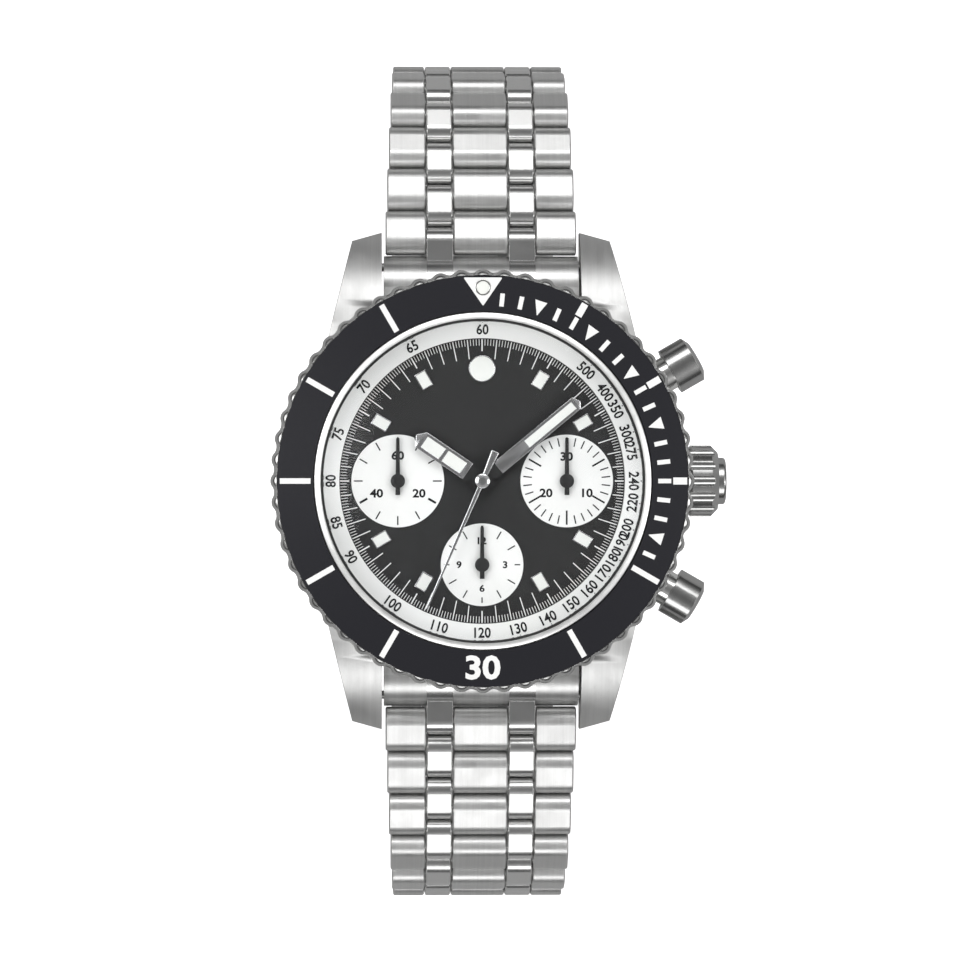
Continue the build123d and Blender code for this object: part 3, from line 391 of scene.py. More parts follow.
def sapphire(name):
    """Clear, coated against reflections, and open to the light that reaches the dial."""
    made, tree, shader = new_material(name)
    handled = use_group(tree, "handling_marks", {"Scale": 90.0})
    tint = mixed(tree, handled["Smudge"], (0.985, 0.99, 1.0, 1.0), (1.0, 1.0, 1.0, 1.0))
    link(tree, tint, shader, "Base Color")
    link(tree, math_node(tree, "MULTIPLY", handled["Smudge"], 0.015), shader, "Roughness")
    shader.inputs["Transmission Weight"].default_value = 1.0
    shader.inputs["IOR"].default_value = 1.16
    clear = add(tree, "BsdfTransparent", {"Color": (0.98, 0.985, 0.99, 1.0)})
    rays = add(tree, "LightPath")
    through = math_node(tree, "MAXIMUM", rays.outputs["Is Shadow Ray"], rays.outputs["Is Diffuse Ray"])
    both = add(tree, "MixShader", {0: through, 1: shader.outputs["BSDF"], 2: clear.outputs["BSDF"]})
    output = next(n for n in tree.nodes if n.type == "OUTPUT_MATERIAL")
    tree.links.new(both.outputs[0], output.inputs["Surface"])
    return made


def ruby(name):
    """A synthetic jewel bearing."""
    made = coating(name, (0.42, 0.012, 0.05), 0.1, grit=4000.0, depth=0.05, variety=0.3, coat=1.0)
    return made


def steel():
    """The bracelet's and body's steel colour."""
    return tuple(look().steel_colour)


FINISHES = {
    "bracelet_steel": lambda n: metal(
        n, steel(), 0.36, (9000.0, 110.0, 110.0), 0.4, 0.12, polished=narrow_columns, polished_roughness=0.2
    ),
    "case_steel": lambda n: metal(
        n, steel(), 0.42, (8000.0, 130.0, 130.0), 0.4, 0.12, polished=above_shoulder, polished_roughness=0.3
    ),
    "polished_steel": lambda n: metal(
        n, (0.64, 0.64, 0.635), 0.13, (700.0, 700.0, 700.0), 0.04, 0.05, edge=0.15
    ),
    "grip_steel": lambda n: metal(n, (0.5, 0.5, 0.495), 0.2, (900.0, 900.0, 900.0), 0.05, 0.1, edge=0.2),
    # A lighter copy of the case steel for the rim round the dial: a painted sheen that makes it look lit.
    "sheen_painted_steel": lambda n: metal(n, (0.86, 0.86, 0.85), 0.34, (900.0, 900.0, 900.0), 0.04, 0.05, edge=0.1),
    "knob_steel": lambda n: metal(n, (0.46, 0.46, 0.455), 0.2, (900.0, 900.0, 900.0), 0.08, 0.12, edge=0.25),
    "satin_steel": lambda n: metal(n, steel(), 0.28, (2500.0, 900.0, 900.0), 0.15, 0.1),
    "clasp_steel": lambda n: metal(n, steel(), 0.33, (9000.0, 110.0, 110.0), 0.45, 0.15),
    "turned_steel": lambda n: metal(n, steel(), 0.25, (900.0, 900.0, 900.0), 0.12, 0.1, relief=turned_rings),
    "spring_steel": lambda n: metal(n, (0.42, 0.43, 0.45), 0.22, (2500.0, 300.0, 300.0), 0.1, 0.12),
    "blued_steel": lambda n: metal(n, (0.03, 0.06, 0.32), 0.18, (900.0, 900.0, 900.0), 0.05, 0.2),
    "rhodium_brass": lambda n: metal(
        n, (0.62, 0.6, 0.56), 0.24, (3000.0, 3000.0, 300.0), 0.25, 0.08, relief=water_stripes
    ),
    "pearled_plate": lambda n: metal(
        n, (0.6, 0.58, 0.54), 0.26, (3000.0, 3000.0, 300.0), 0.25, 0.08, relief=pearls
    ),
    "gilt_brass": lambda n: metal(n, (0.78, 0.56, 0.24), 0.22, (900.0, 900.0, 900.0), 0.08, 0.14),
    "rotor_metal": lambda n: metal(
        n, (0.5, 0.49, 0.47), 0.24, (3000.0, 3000.0, 300.0), 0.2, 0.1, relief=water_stripes
    ),
    "hand_steel": lambda n: metal(n, (0.5, 0.5, 0.495), 0.22, (2600.0, 2600.0, 900.0), 0.1, 0.08),
    "black_enamel": lambda n: coating(
        n, tuple(look().insert_colour), 0.12, 3000.0, 0.02, 0.3, specular=0.12, edge=0.12
    ),
    "black_dial": lambda n: coating(n, tuple(look().dial_colour), 0.4, 12000.0, 0.1, 0.3, specular=0.06),
    "black_lacquer": lambda n: coating(
        n, (0.006, 0.006, 0.0065), 0.22, 5000.0, 0.04, 0.25, specular=0.35, edge=0.1
    ),
    "black_print": lambda n: coating(n, (0.009, 0.009, 0.01), 0.5, 14000.0, 0.2, 0.3, specular=0.2),
    "black_rubber": lambda n: coating(n, (0.012, 0.012, 0.013), 0.6, 5000.0, 0.5, 0.3, specular=0.3),
    "white_lacquer": lambda n: coating(n, tuple(look().ring_colour), 0.34, 9000.0, 0.08, 0.03, specular=0.3),
    "white_print": lambda n: coating(n, (0.87, 0.87, 0.86), 0.5, 14000.0, 0.15, 0.04, specular=0.2),
    "luminous_paint": lambda n: coating(
        n, tuple(look().paint_colour), 0.62, 16000.0, 0.5, 0.06, specular=0.2
    ),
    "sapphire_glass": sapphire,
    "ruby_jewel": ruby,
}


def finish(name):
    """The material of that name, made on first use."""
    return bpy.data.materials.get(name) or FINISHES[name](name)


# ------------------------------------------------------------------ mesh helpers
def clock(angle):
    """Unit vector of a clock angle in degrees, 0 at twelve and rising clockwise."""
    turn = math.radians(angle)
    return Vector((math.sin(turn), math.cos(turn)))


def on_clock(angle, radius, aside=0.0):
    """A point at that clock angle and radius, moved sideways along the clockwise tangent."""
    out = clock(angle)
    return (out.x * radius + out.y * aside, out.y * radius - out.x * aside)


def level(height):
    return lambda x, y: height


def cone(inner, outer):
    """Height on the slope that joins two (radius, height) pairs."""
    slope = (outer[1] - inner[1]) / (outer[0] - inner[0])
    return lambda x, y: inner[1] + (math.hypot(x, y) - inner[0]) * slope


def bar(angle, inner, outer, width, outer_width=None):
    """A flat radial bar in plan."""
    half, far = width / 2, (outer_width or width) / 2
    points = [
        on_clock(angle, inner, -half),
        on_clock(angle, inner, half),
        on_clock(angle, outer, far),
        on_clock(angle, outer, -far),
    ]
    return points, [(0, 1, 2, 3)]


def moved(shape, spot):
    points, faces = shape
    return [(x + spot[0], y + spot[1]) for x, y in points], faces


def band(inner, outer, steps=180, spot=(0.0, 0.0)):
    """A flat ring in plan."""
    points, faces = [], []
    for k in range(steps):
        turn = TAU * k / steps
        for radius in (inner, outer):
            points.append((spot[0] + radius * math.cos(turn), spot[1] + radius * math.sin(turn)))
    for k in range(steps):
        a, b = 2 * k, 2 * ((k + 1) % steps)
        faces.append((a, a + 1, b + 1, b))
    return points, faces


def letters(text, height, weight=0.0, squeeze=1.0):
    """Flat numerals in plan, centred, with that height. weight thickens the strokes."""
    curve = bpy.data.curves.new("numerals", "FONT")
    curve.body = text
    curve.align_x = "CENTER"
    curve.offset = weight
    curve.resolution_u = 3
    holder = bpy.data.objects.new("numerals", curve)
    bpy.context.scene.collection.objects.link(holder)
    graph = bpy.context.evaluated_depsgraph_get()
    mesh = bpy.data.meshes.new_from_object(holder.evaluated_get(graph))
    points = [(v.co.x, v.co.y) for v in mesh.vertices]
    faces = [tuple(p.vertices) for p in mesh.polygons]
    bpy.data.objects.remove(holder)
    bpy.data.curves.remove(curve)
    bpy.data.meshes.remove(mesh)
    low = [min(p[i] for p in points) for i in (0, 1)]
    high = [max(p[i] for p in points) for i in (0, 1)]
    size = height / (high[1] - low[1])
    middle = [(low[i] + high[i]) / 2 for i in (0, 1)]
    return [((x - middle[0]) * size * squeeze, (y - middle[1]) * size) for x, y in points], faces


def placed(shape, angle, radius, flip=False, turn=None):
    """A shape laid at a clock angle. Its top points outward, or inward when flip is set."""
    points, faces = shape
    facing = angle + (180 if flip else 0) if turn is None else turn
    along, up = clock(facing + 90), clock(facing)
    centre = clock(angle) * radius
    return [
        (centre.x + along.x * x + up.x * y, centre.y + along.y * x + up.y * y) for x, y in points
    ], faces


def raised(shapes, surface, lift, sink=0.02):
    """Closed solids whose top follows surface, lift above it, and whose foot is sunk into it."""
    points, faces = [], []
    for plan, plan_faces in shapes:
        start = len(points)
        count = len(plan)
        for x, y in plan:
            points.append((x, y, surface(x, y) + lift))
        for x, y in plan:
            points.append((x, y, surface(x, y) - sink))
        edges = set()
        for face in plan_faces:
            area = sum(
                plan[a][0] * plan[b][1] - plan[b][0] * plan[a][1]
                for a, b in zip(face, face[1:] + face[:1])
            )
            face = face if area > 0 else face[::-1]
            edges.update(zip(face, face[1:] + face[:1]))
            faces.append(tuple(start + i for i in face))
            faces.append(tuple(start + count + i for i in reversed(face)))
        for a, b in sorted(edges):
            if (b, a) not in edges:
                faces.append((start + a, start + count + a, start + count + b, start + b))
    return points, faces


def lathe(profile, steps=96, place=None, closed=True):
    """A profile of (radius, height) turned about Z, or about another axis given by place."""
    points, faces, rings = [], [], []
    for radius, height in profile:
        ring = []
        if radius < 1e-6:
            ring.append(len(points))
            points.append((0.0, 0.0, height))
        else:
            for k in range(steps):
                turn = TAU * k / steps
                ring.append(len(points))
                points.append((radius * math.cos(turn), radius * math.sin(turn), height))
        rings.append(ring)
    pairs = list(zip(rings, rings[1:]))
    if closed:
        pairs.append((rings[-1], rings[0]))
    for low, high in pairs:
        for k in range(steps):
            j = (k + 1) % steps
            corners = [low[k % len(low)], low[j % len(low)], high[j % len(high)], high[k % len(high)]]
            face = tuple(dict.fromkeys(corners))
            if len(face) > 2:
                faces.append(face)
    if place is not None:
        points = [tuple(place @ Vector(p)) for p in points]
    return points, faces


def scalloped(profile, lobes=60, depth=0.4, steps=14):
    """A closed (radius, height, share) profile turned about Z, with rounded lobes round its rim."""
    points, faces = [], []
    turns, count = lobes * steps, len(profile)
    for k in range(turns):
        turn = TAU * k / turns
        hollow = (0.5 - 0.5 * math.cos(lobes * turn)) ** 1.3
        for radius, height, share in profile:
            reach = radius - depth * share * hollow
            points.append((reach * math.cos(turn), reach * math.sin(turn), height))
        ahead = (k + 1) % turns
        for i in range(count):
            j = (i + 1) % count
            faces.append((k * count + i, ahead * count + i, ahead * count + j, k * count + j))
    return points, faces


def softened(profile, radius, steps=3, closed=True):
    """A polyline with its corners rounded."""
    out = []
    count = len(profile)
    for i, here in enumerate(profile):
        if not closed and i in (0, count - 1):
            out.append(tuple(here))
            continue
        here = Vector(here)
        before, after = Vector(profile[i - 1]), Vector(profile[(i + 1) % count])
        back, ahead = before - here, after - here
        if back.length < 1e-6 or ahead.length < 1e-6:
            out.append(tuple(here))
            continue
        reach = min(radius, back.length * 0.45, ahead.length * 0.45)
        first, last = here + back.normalized() * reach, here + ahead.normalized() * reach
        for k in range(steps + 1):
            t = k / steps
            point = first * (1 - t) ** 2 + here * (2 * t * (1 - t)) + last * t**2
            out.append(tuple(point))
    return out


def plate(loops, low, high, bevel, angle=0.0, spot=(0.0, 0.0)):
    """A flat plate with bevelled edges. The first loop is its outline and the others are its windows."""
    curve = bpy.data.curves.new("plate", "CURVE")
    curve.dimensions = "2D"
    curve.fill_mode = "BOTH"
    curve.extrude = (high - low) / 2 - bevel
    curve.bevel_depth = bevel
    curve.bevel_resolution = 1
    curve.offset = -bevel
    for loop in loops:
        line = curve.splines.new("POLY")
        line.points.add(len(loop) - 1)
        for point, (x, y) in zip(line.points, loop):
            point.co = (x, y, 0.0, 1.0)
        line.use_cyclic_u = True
    holder = bpy.data.objects.new("plate", curve)
    bpy.context.scene.collection.objects.link(holder)
    graph = bpy.context.evaluated_depsgraph_get()
    mesh = bpy.data.meshes.new_from_object(holder.evaluated_get(graph))
    turn = Matrix.Rotation(-math.radians(angle), 4, "Z")
    lift = Vector((spot[0], spot[1], (low + high) / 2))
    points = [tuple(turn @ v.co + lift) for v in mesh.vertices]
    faces = [tuple(p.vertices) for p in mesh.polygons]
    bpy.data.objects.remove(holder)
    bpy.data.curves.remove(curve)
    bpy.data.meshes.remove(mesh)
    return points, faces


def piece(name, parts, look, body, smooth=35.0, stands_for=(), merge=WELD):
    """One shown object of the watch, from parts given in millimetres."""
    points, faces = [], []
    for part_points, part_faces in parts:
        start = len(points)
        points.extend((x * MM, y * MM, z * MM) for x, y, z in part_points)
        faces.extend(tuple(start + i for i in face) for face in part_faces)
    mesh = bpy.data.meshes.new(name)
    mesh.from_pydata(points, [], faces)
    work = bmesh.new()
    work.from_mesh(mesh)
    bmesh.ops.remove_doubles(work, verts=work.verts, dist=merge * MM)
    bmesh.ops.recalc_face_normals(work, faces=work.faces)
    work.to_mesh(mesh)
    work.free()
    mesh.shade_smooth()
    mesh.set_sharp_from_angle(angle=math.radians(smooth))
    mesh.materials.append(finish(look))
    made = bpy.data.objects.new(name, mesh)
    bpy.context.scene.collection.objects.link(made)
    if stands_for:
        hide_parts(*stands_for)
    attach(made, body)
    return made


def dress(look, *nodes):
    """Gives CAD nodes their finish."""
    for name in nodes:
        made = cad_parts[name]
        made.data.materials.clear()
        made.data.materials.append(finish(look))
        for face in made.data.polygons:
            face.material_index = 0


def look():
    return bpy.context.scene.watch_look


# ------------------------------------------------------------------ plans of the printed details
SHORT_DASHES = (1, 2, 4, 7, 8, 11, 13, 14, 16, 17, 19)
ARROW_MINUTES = (3, 6, 9, 12, 18)
DOUBLE_BARS = (5, 10, 15)
LONG_BARS = (20, 25, 35, 40, 45, 50, 55)
SPEEDS = (60, 65, 70, 75, 80, 85, 90, 100, 110, 120, 130, 140, 150, 160, 170, 180, 190, 200, 220, 240)
HIGH_SPEEDS = (275, 300, 350, 400, 500)
MARKER_HOURS = (1, 2, 4, 5, 7, 8, 10, 11)


def insert_shapes():
    """White figures of the turning insert."""
    shapes = [bar(6 * m, 17.4, 18.7, 0.45) for m in SHORT_DASHES]
    for minute in ARROW_MINUTES:
        shapes.append(bar(6 * minute, 17.3, 18.75, 0.06, 1.25))
    for minute in DOUBLE_BARS:
        shapes.append(bar(6 * minute, 18.9, 20.3, 0.7))
        shapes.append(bar(6 * minute, 17.4, 18.7, 0.45))
    shapes += [bar(6 * m, 17.1, 20.15, 0.55) for m in LONG_BARS]
    shapes.append(placed(letters("30", 2.45, 0.03, 1.12), 180, 18.5, turn=0))
    return shapes


def north_triangle():
    """Outline of the inverted triangle at twelve, with a round window for the pearl."""
    outline = softened([(-1.95, 20.2), (0.0, 17.35), (1.95, 20.2)], 0.15, 2)
    return [outline, [(0.8 * math.sin(TAU * k / 32), 19.2 + 0.8 * math.cos(TAU * k / 32)) for k in range(32)]]


def speed_angle(value):
    return (360.0 * 60.0 / value) % 360


def speed_shapes(height):
    """Numerals and ticks of the speed scale."""
    shapes = [band(15.9, 15.97, 360)]
    for value in SPEEDS + HIGH_SPEEDS:
        angle = speed_angle(value)
        flip = 95 < angle < 262
        shapes.append(placed(letters(str(value), height, 0.02, 0.95), angle, 15.02, flip))
        shapes.append(bar(angle, 15.62, 15.92, 0.1))
    for value in list(range(61, 100)) + list(range(102, 200, 2)) + list(range(205, 300, 5)):
        shapes.append(bar(speed_angle(value), 15.76, 15.92, 0.05))
    return shapes


def in_counter(point):
    for counter in (SECONDS, MINUTES, HOURS):
        gap = math.dist(point, counter["spot"])
        if gap < counter["radius"] + 0.12:
            return True
    return False


def track_shapes(width):
    """Ticks of the dial's rim: five to a second, one long each minute."""
    shapes = []
    for k in range(300):
        angle = 1.2 * k
        if k % 25 == 0:
            inner, broad = 12.95, 2.2
        elif k % 5 == 0:
            inner, broad = 12.2, 1.6
        else:
            inner, broad = 13.5, 1.0
        while inner < 13.5 and in_counter(on_clock(angle, inner)):
            inner += 0.1
        shapes.append(bar(angle, inner, 14.12, width * broad))
    return shapes


def counter_shapes(kind):
    """Black ticks and numerals of one counter, round its own centre."""
    shapes = []
    if kind == "minutes":
        for k in range(30):
            bold = k % 5 == 0
            shapes.append(bar(12 * k, 2.95 if bold else 3.5, 4.36, 0.17 if bold else 0.12))
        figures = (("30", 0, 2.45), ("10", 120, 2.38), ("20", 240, 2.38))
        size = 0.88
    elif kind == "seconds":
        for k in range(12):
            bold = k in (4, 8)
            shapes.append(bar(30 * k, 3.5, 4.38, 0.22 if bold else 0.13))
        figures = (("60", 0, 2.55), ("20", 120, 2.45), ("40", 240, 2.45))
        size = 0.88
    else:
        for k in range(12):
            if k % 3:
                shapes.append(bar(30 * k, 2.95, 3.8, 0.12))
            else:
                shapes.append(bar(30 * k, 3.25, 3.8, 0.12))
        figures = (("12", 0, 2.4), ("3", 90, 2.3), ("6", 180, 2.35), ("9", 270, 2.3))
        size = 0.72
    for text, angle, radius in figures:
        shapes.append(placed(letters(text, size, 0.03, 1.12), angle, radius, turn=0))
    return shapes


def rectangle(low, high, half, far_half=None):
    far = far_half or half
    return [(-half, low), (half, low), (far, high), (-far, high)]


# ------------------------------------------------------------------ pieces
def outer_lug_edge(edge):
    """Whether an edge runs between the top and the outer flank of a lug."""
    if len(edge.link_faces) != 2 or not edge.is_convex:
        return False
    spot = (edge.verts[0].co + edge.verts[1].co) / 2 / MM
    along = (edge.verts[1].co - edge.verts[0].co).normalized()
    normals = [face.normal for face in edge.link_faces]
    on_lug = abs(spot.x) > 12.5 and abs(spot.y) > 14.0 and spot.z > 3.6
    between = max(abs(n.x) for n in normals) > 0.8 and max(n.z for n in normals) > 0.25
    return on_lug and between and abs(along.x) < 0.6 and edge.calc_face_angle(0.0) > math.radians(50)


def bevelled_body():
    """The body with bevels along the lugs' outer edges, cut on a copy of the plain one."""
    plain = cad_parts["mid_case"]
    mesh = plain.data.copy()
    mesh.name = "body_shell"
    mesh.transform(plain.matrix_world)
    work = bmesh.new()
    work.from_mesh(mesh)
    bmesh.ops.remove_doubles(work, verts=work.verts, dist=WELD * MM)
    bmesh.ops.dissolve_limit(work, angle_limit=math.radians(FLAT), verts=work.verts, edges=work.edges)
    bmesh.ops.bevel(
        work,
        geom=[edge for edge in work.edges if outer_lug_edge(edge)],
        offset=LUG_BEVEL * MM,
        offset_type="OFFSET",
        segments=1,
        profile=0.5,
        affect="EDGES",
        clamp_overlap=True,
    )
    work.to_mesh(mesh)
    work.free()
    mesh.materials.clear()
    mesh.materials.append(finish("case_steel"))
    mesh.shade_smooth()
    mesh.set_sharp_from_angle(angle=math.radians(25.0))
    made = bpy.data.objects.new("body_shell", mesh)
    bpy.context.scene.collection.objects.link(made)
    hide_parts("mid_case")
    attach(made, "case")


class WATCH_OT_body(bpy.types.Operator):
    """Finish the watch body, its back, tubes and gaskets"""

    bl_idname = "watch.body"
    bl_label = "Watch body"

    def execute(self, context):
        bevelled_body()
        dress("turned_steel", "case_back")
        rim = softened([(16.1, 12.0), (16.1, 12.3), (16.72, 12.12), (16.74, 12.0)], 0.05, 2)
        # The rim takes the lighter copy of the case steel, a painted sheen.
        piece("neck_rim", [lathe(rim, 180)], "sheen_painted_steel", "case")
        dress("polished_steel", "case_tubes")
        dress("black_rubber", "gaskets")
        dress("spring_steel", "pusher_springs", "bezel_click_spring")
        return {"FINISHED"}


class WATCH_OT_bezel(bpy.types.Operator):
    """Finish the grip ring of the turning bezel"""

    bl_idname = "watch.bezel"
    bl_label = "Bezel ring"

    def execute(self, context):
        foot = [(18.1, 9.3, 0.0), (20.6, 9.3, 0.0), (21.0, 9.62, 0.5)]
        side = [(21.1, 9.85, 1.0), (21.1, 11.05, 1.0), (21.02, 11.36, 1.0), (20.86, 11.6, 0.9)]
        crest = [(20.66, 11.78, 0.6), (20.52, 11.84, 0.25), (20.46, 11.8, 0.0), (20.45, 11.6, 0.0)]
        seat = [(20.45, 11.3, 0.0), (16.85, 11.3, 0.0), (16.85, 10.5, 0.0), (18.1, 10.5, 0.0)]
        piece("bezel_grip", [scalloped(foot + side + crest + seat)], "grip_steel", "bezel",
              30, ["bezel_ring"])
        return {"FINISHED"}


class WATCH_OT_insert(bpy.types.Operator):
    """Lay the figures and the pearl on the black insert"""

    bl_idname = "watch.insert"
    bl_label = "Bezel insert"

    def execute(self, context):
        slope = cone(INSERT_IN, INSERT_OUT)
        dress("black_enamel", "bezel_insert")
        shapes = raised(insert_shapes(), slope, 0.03)
        piece("insert_figures", [shapes], "white_print", "bezel")
        middle = slope(0, 19.0)
        triangle = plate(north_triangle(), middle - 0.06, middle + 0.06, 0.01)
        tilt = math.atan2(INSERT_OUT[1] - INSERT_IN[1], INSERT_OUT[0] - INSERT_IN[0])
        points = [(x, y, z + (y - 19.0) * math.tan(tilt)) for x, y, z in triangle[0]]
        piece("insert_triangle", [(points, triangle[1])], "white_print", "bezel")
        seat = slope(0, 19.2)
        rim = softened([(0.8, -0.1), (0.8, 0.1), (0.62, 0.1), (0.62, -0.1)], 0.04, 2)
        place = Matrix.Translation((0, 19.2, seat))
        piece("pearl_rim", [lathe(rim, 48, place)], "polished_steel", "bezel")
        dome = [(0.0, -0.1), (0.63, -0.1), (0.63, 0.06)]
        dome += [(0.63 * math.cos(a), 0.06 + 0.12 * math.sin(a)) for a in (0.3, 0.6, 0.9, 1.2)]
        dome.append((0.0, 0.18))
        piece("pearl", [lathe(dome, 48, place, False)], "luminous_paint", "bezel")
        return {"FINISHED"}


class WATCH_OT_crystal(bpy.types.Operator):
    """Turn the domed crystal"""

    bl_idname = "watch.crystal"
    bl_label = "Crystal"

    def execute(self, context):
        outer = (CRYSTAL_R**2 + (CRYSTAL_TOP - CRYSTAL_EDGE) ** 2) / (2 * (CRYSTAL_TOP - CRYSTAL_EDGE))
        well = CRYSTAL_R - 1.4
        rise = CRYSTAL_UNDER - CRYSTAL_FLOOR
        inner = (well**2 + rise**2) / (2 * rise)
        profile = [(0.0, CRYSTAL_TOP)]
        for k in range(1, 33):
            r = (CRYSTAL_R - 0.12) * k / 32
            profile.append((r, CRYSTAL_TOP - outer + math.sqrt(outer**2 - r**2)))
        profile += [(CRYSTAL_R - 0.03, CRYSTAL_EDGE - 0.06), (CRYSTAL_R, CRYSTAL_EDGE - 0.18)]
        profile += [(CRYSTAL_R, CRYSTAL_FLOOR + 0.1), (CRYSTAL_R - 0.1, CRYSTAL_FLOOR)]
        for k in range(24, 0, -1):
            r = well * k / 24
            profile.append((r, CRYSTAL_UNDER - inner + math.sqrt(inner**2 - r**2)))
        profile.append((0.0, CRYSTAL_UNDER))
        glass = lathe(profile, 160, closed=False)
        piece("crystal_glass", [glass], "sapphire_glass", "case", 40, ["crystal"])
        return {"FINISHED"}


class WATCH_OT_speed_scale(bpy.types.Operator):
    """Print the speed scale on the white ring"""

    bl_idname = "watch.speed_scale"
    bl_label = "Speed scale"

    def execute(self, context):
        dress("white_lacquer", "tachymeter_ring")
        slope = cone(TACHY_IN, TACHY_OUT)
        shapes = raised(speed_shapes(look().speed_height / MM), slope, 0.035, 0.0)
        piece("speed_scale", [shapes], "black_print", "case")
        return {"FINISHED"}


class WATCH_OT_dial(bpy.types.Operator):
    """Print the minute track and set the luminous markers"""

    bl_idname = "watch.dial"
    bl_label = "Dial"

    def execute(self, context):
        dress("black_dial", "dial_plate")
        track = raised(track_shapes(look().tick_width / MM), level(DIAL_TOP), 0.012)
        piece("minute_track", [track], "white_print", "case")
        frames, paint = [], []
        for hour in MARKER_HOURS:
            outline = softened(rectangle(10.76, 12.46, 0.6), 0.05, 2)
            window = softened(rectangle(10.86, 12.36, 0.5), 0.05, 2)
            frames.append(plate([outline, window], DIAL_TOP - 0.02, DIAL_TOP + 0.26, 0.02, 30 * hour))
            fill = softened(rectangle(10.86, 12.36, 0.5), 0.05, 2)
            paint.append(plate([fill], DIAL_TOP - 0.02, DIAL_TOP + 0.25, 0.03, 30 * hour))
        place = Matrix.Translation((0, 11.2, DIAL_TOP))
        rim = softened([(1.32, -0.02), (1.32, 0.26), (1.22, 0.26), (1.22, -0.02)], 0.03, 2)
        frames.append(lathe(rim, 64, place))
        dome = [(0.0, -0.02), (1.23, -0.02), (1.23, 0.2), (1.15, 0.235), (0.8, 0.26), (0.4, 0.27), (0.0, 0.275)]
        paint.append(lathe(dome, 64, place, False))
        piece("marker_frames", frames, "hand_steel", "case")
        piece("marker_paint", paint, "luminous_paint", "case")
        return {"FINISHED"}


class WATCH_OT_counters(bpy.types.Operator):
    """Make the three white counters with their ticks and numerals"""

    bl_idname = "watch.counters"
    bl_label = "Counters"

    def execute(self, context):
        floors, prints = [], []
        for kind, counter in (("seconds", SECONDS), ("minutes", MINUTES), ("hours", HOURS)):
            radius = counter["radius"] - 0.03
            place = Matrix.Translation((*counter["spot"], 0.0))
            top = SUB_FLOOR + 0.05
            profile = [(0.3, SUB_FLOOR - 0.01), (0.3, top)]
            groove = 0.42
            while groove < radius - 0.35:
                profile += [(groove, top), (groove + 0.03, top - 0.01), (groove + 0.06, top)]
                groove += 0.12
            profile += [(radius - 0.2, top), (radius - 0.14, top + 0.03), (radius, top + 0.035)]
            profile.append((radius, SUB_FLOOR - 0.01))
            floors.append(lathe(profile, 128, place))
            shapes = [moved(s, counter["spot"]) for s in counter_shapes(kind)]
            prints.append(raised(shapes, level(top), 0.014, 0.012))
        piece("counter_floors", floors, "white_lacquer", "case", 25)
        piece("counter_prints", prints, "black_print", "case")
        return {"FINISHED"}


class WATCH_OT_hands(bpy.types.Operator):
    """Shape the hour, minute and central chronograph hands"""

    bl_idname = "watch.hands"
    bl_label = "Hands"

    def execute(self, context):
        dress("black_lacquer", "hour_hand", "minute_hand")
        dress("hand_steel", "chrono_hand")
        half = look().hour_width / MM / 2
        low, high = 8.89, 9.15
        outline = softened([(-half, 1.72), (half, 1.72), (half, 7.25), (0.15, 8.02), (-half, 7.45)], 0.06, 2)
        spans = ((2.3, 4.45), (4.85, 6.95))
        windows = [softened(rectangle(*span, half - 0.32), 0.05, 2) for span in spans]
        body = plate([outline] + windows, low, high, 0.035, HOUR_ANGLE)
        piece("hour_hand_frame", [body], "hand_steel", "hour")
        fill = [plate([w], low + 0.02, high - 0.015, 0.03, HOUR_ANGLE) for w in windows]
        piece("hour_hand_paint", fill, "luminous_paint", "hour")

        half = look().minute_width / MM / 2
        low, high = 9.29, 9.54
        outline = softened([(-half, 2.05), (half, 2.05), (half, 12.1), (0.1, 12.58), (-half, 12.2)], 0.06, 2)
        window = softened(rectangle(5.75, 11.8, half - 0.3), 0.05, 2)
        body = plate([outline, window], low, high, 0.03, MINUTE_ANGLE)
        piece("minute_hand_frame", [body], "hand_steel", "minute")
        fill = plate([window], low + 0.02, high - 0.015, 0.03, MINUTE_ANGLE)
        piece("minute_hand_paint", [fill], "luminous_paint", "minute")

        low, high = 9.74, 9.97
        outline = softened([(-0.2, 0.4), (0.2, 0.4), (0.075, 13.85), (-0.075, 13.85)], 0.03, 2)
        needle = plate([outline], low, high, 0.025, CHRONO_ANGLE)
        outline = softened([(-0.22, -0.4), (0.22, -0.4), (0.38, -3.2), (-0.38, -3.2)], 0.08, 3)
        tail = plate([outline], low, high, 0.04, CHRONO_ANGLE)
        cap = [(0.0, low), (0.74, low), (0.74, 10.12), (0.35, 10.2), (0.0, 10.2)]
        hub = lathe(softened(cap, 0.06, 3, False), 48, closed=False)
        piece("chrono_hand_needle", [needle, tail, hub], "hand_steel", "chrono")
        return {"FINISHED"}


class WATCH_OT_counter_hands(bpy.types.Operator):
    """Shape the three small black hands"""

    bl_idname = "watch.counter_hands"
    bl_label = "Counter hands"

    def execute(self, context):
        dress("black_lacquer", "seconds_hand", "minute_counter_hand", "hour_counter_hand")
        for name, counter, reach in (
            ("seconds_needle", SECONDS, 4.25),
            ("minute_counter_needle", MINUTES, 4.3),
            ("hour_counter_needle", HOURS, 3.75),
        ):
            outline = softened([(-0.24, -1.4), (0.24, -1.4), (0.17, reach), (-0.17, reach)], 0.04, 2)
            needle = plate([outline], 8.59, 8.81, 0.02, 0.0, counter["spot"])
            place = Matrix.Translation((*counter["spot"], 0.0))
            cap = softened([(0.0, 8.59), (0.72, 8.59), (0.72, 8.84), (0.3, 8.88), (0.0, 8.88)], 0.05, 3, False)
            hub = lathe(cap, 48, place, False)
            piece(name, [needle, hub], "black_lacquer", counter["body"])
        return {"FINISHED"}


class WATCH_OT_crown(bpy.types.Operator):
    """Finish the winding crown, its stem and pinion"""

    bl_idname = "watch.crown"
    bl_label = "Winding crown"

    def execute(self, context):
        dress("knob_steel", "crown")
        dress("spring_steel", "winding_stem")
        dress("gilt_brass", "winding_pinion")
        return {"FINISHED"}


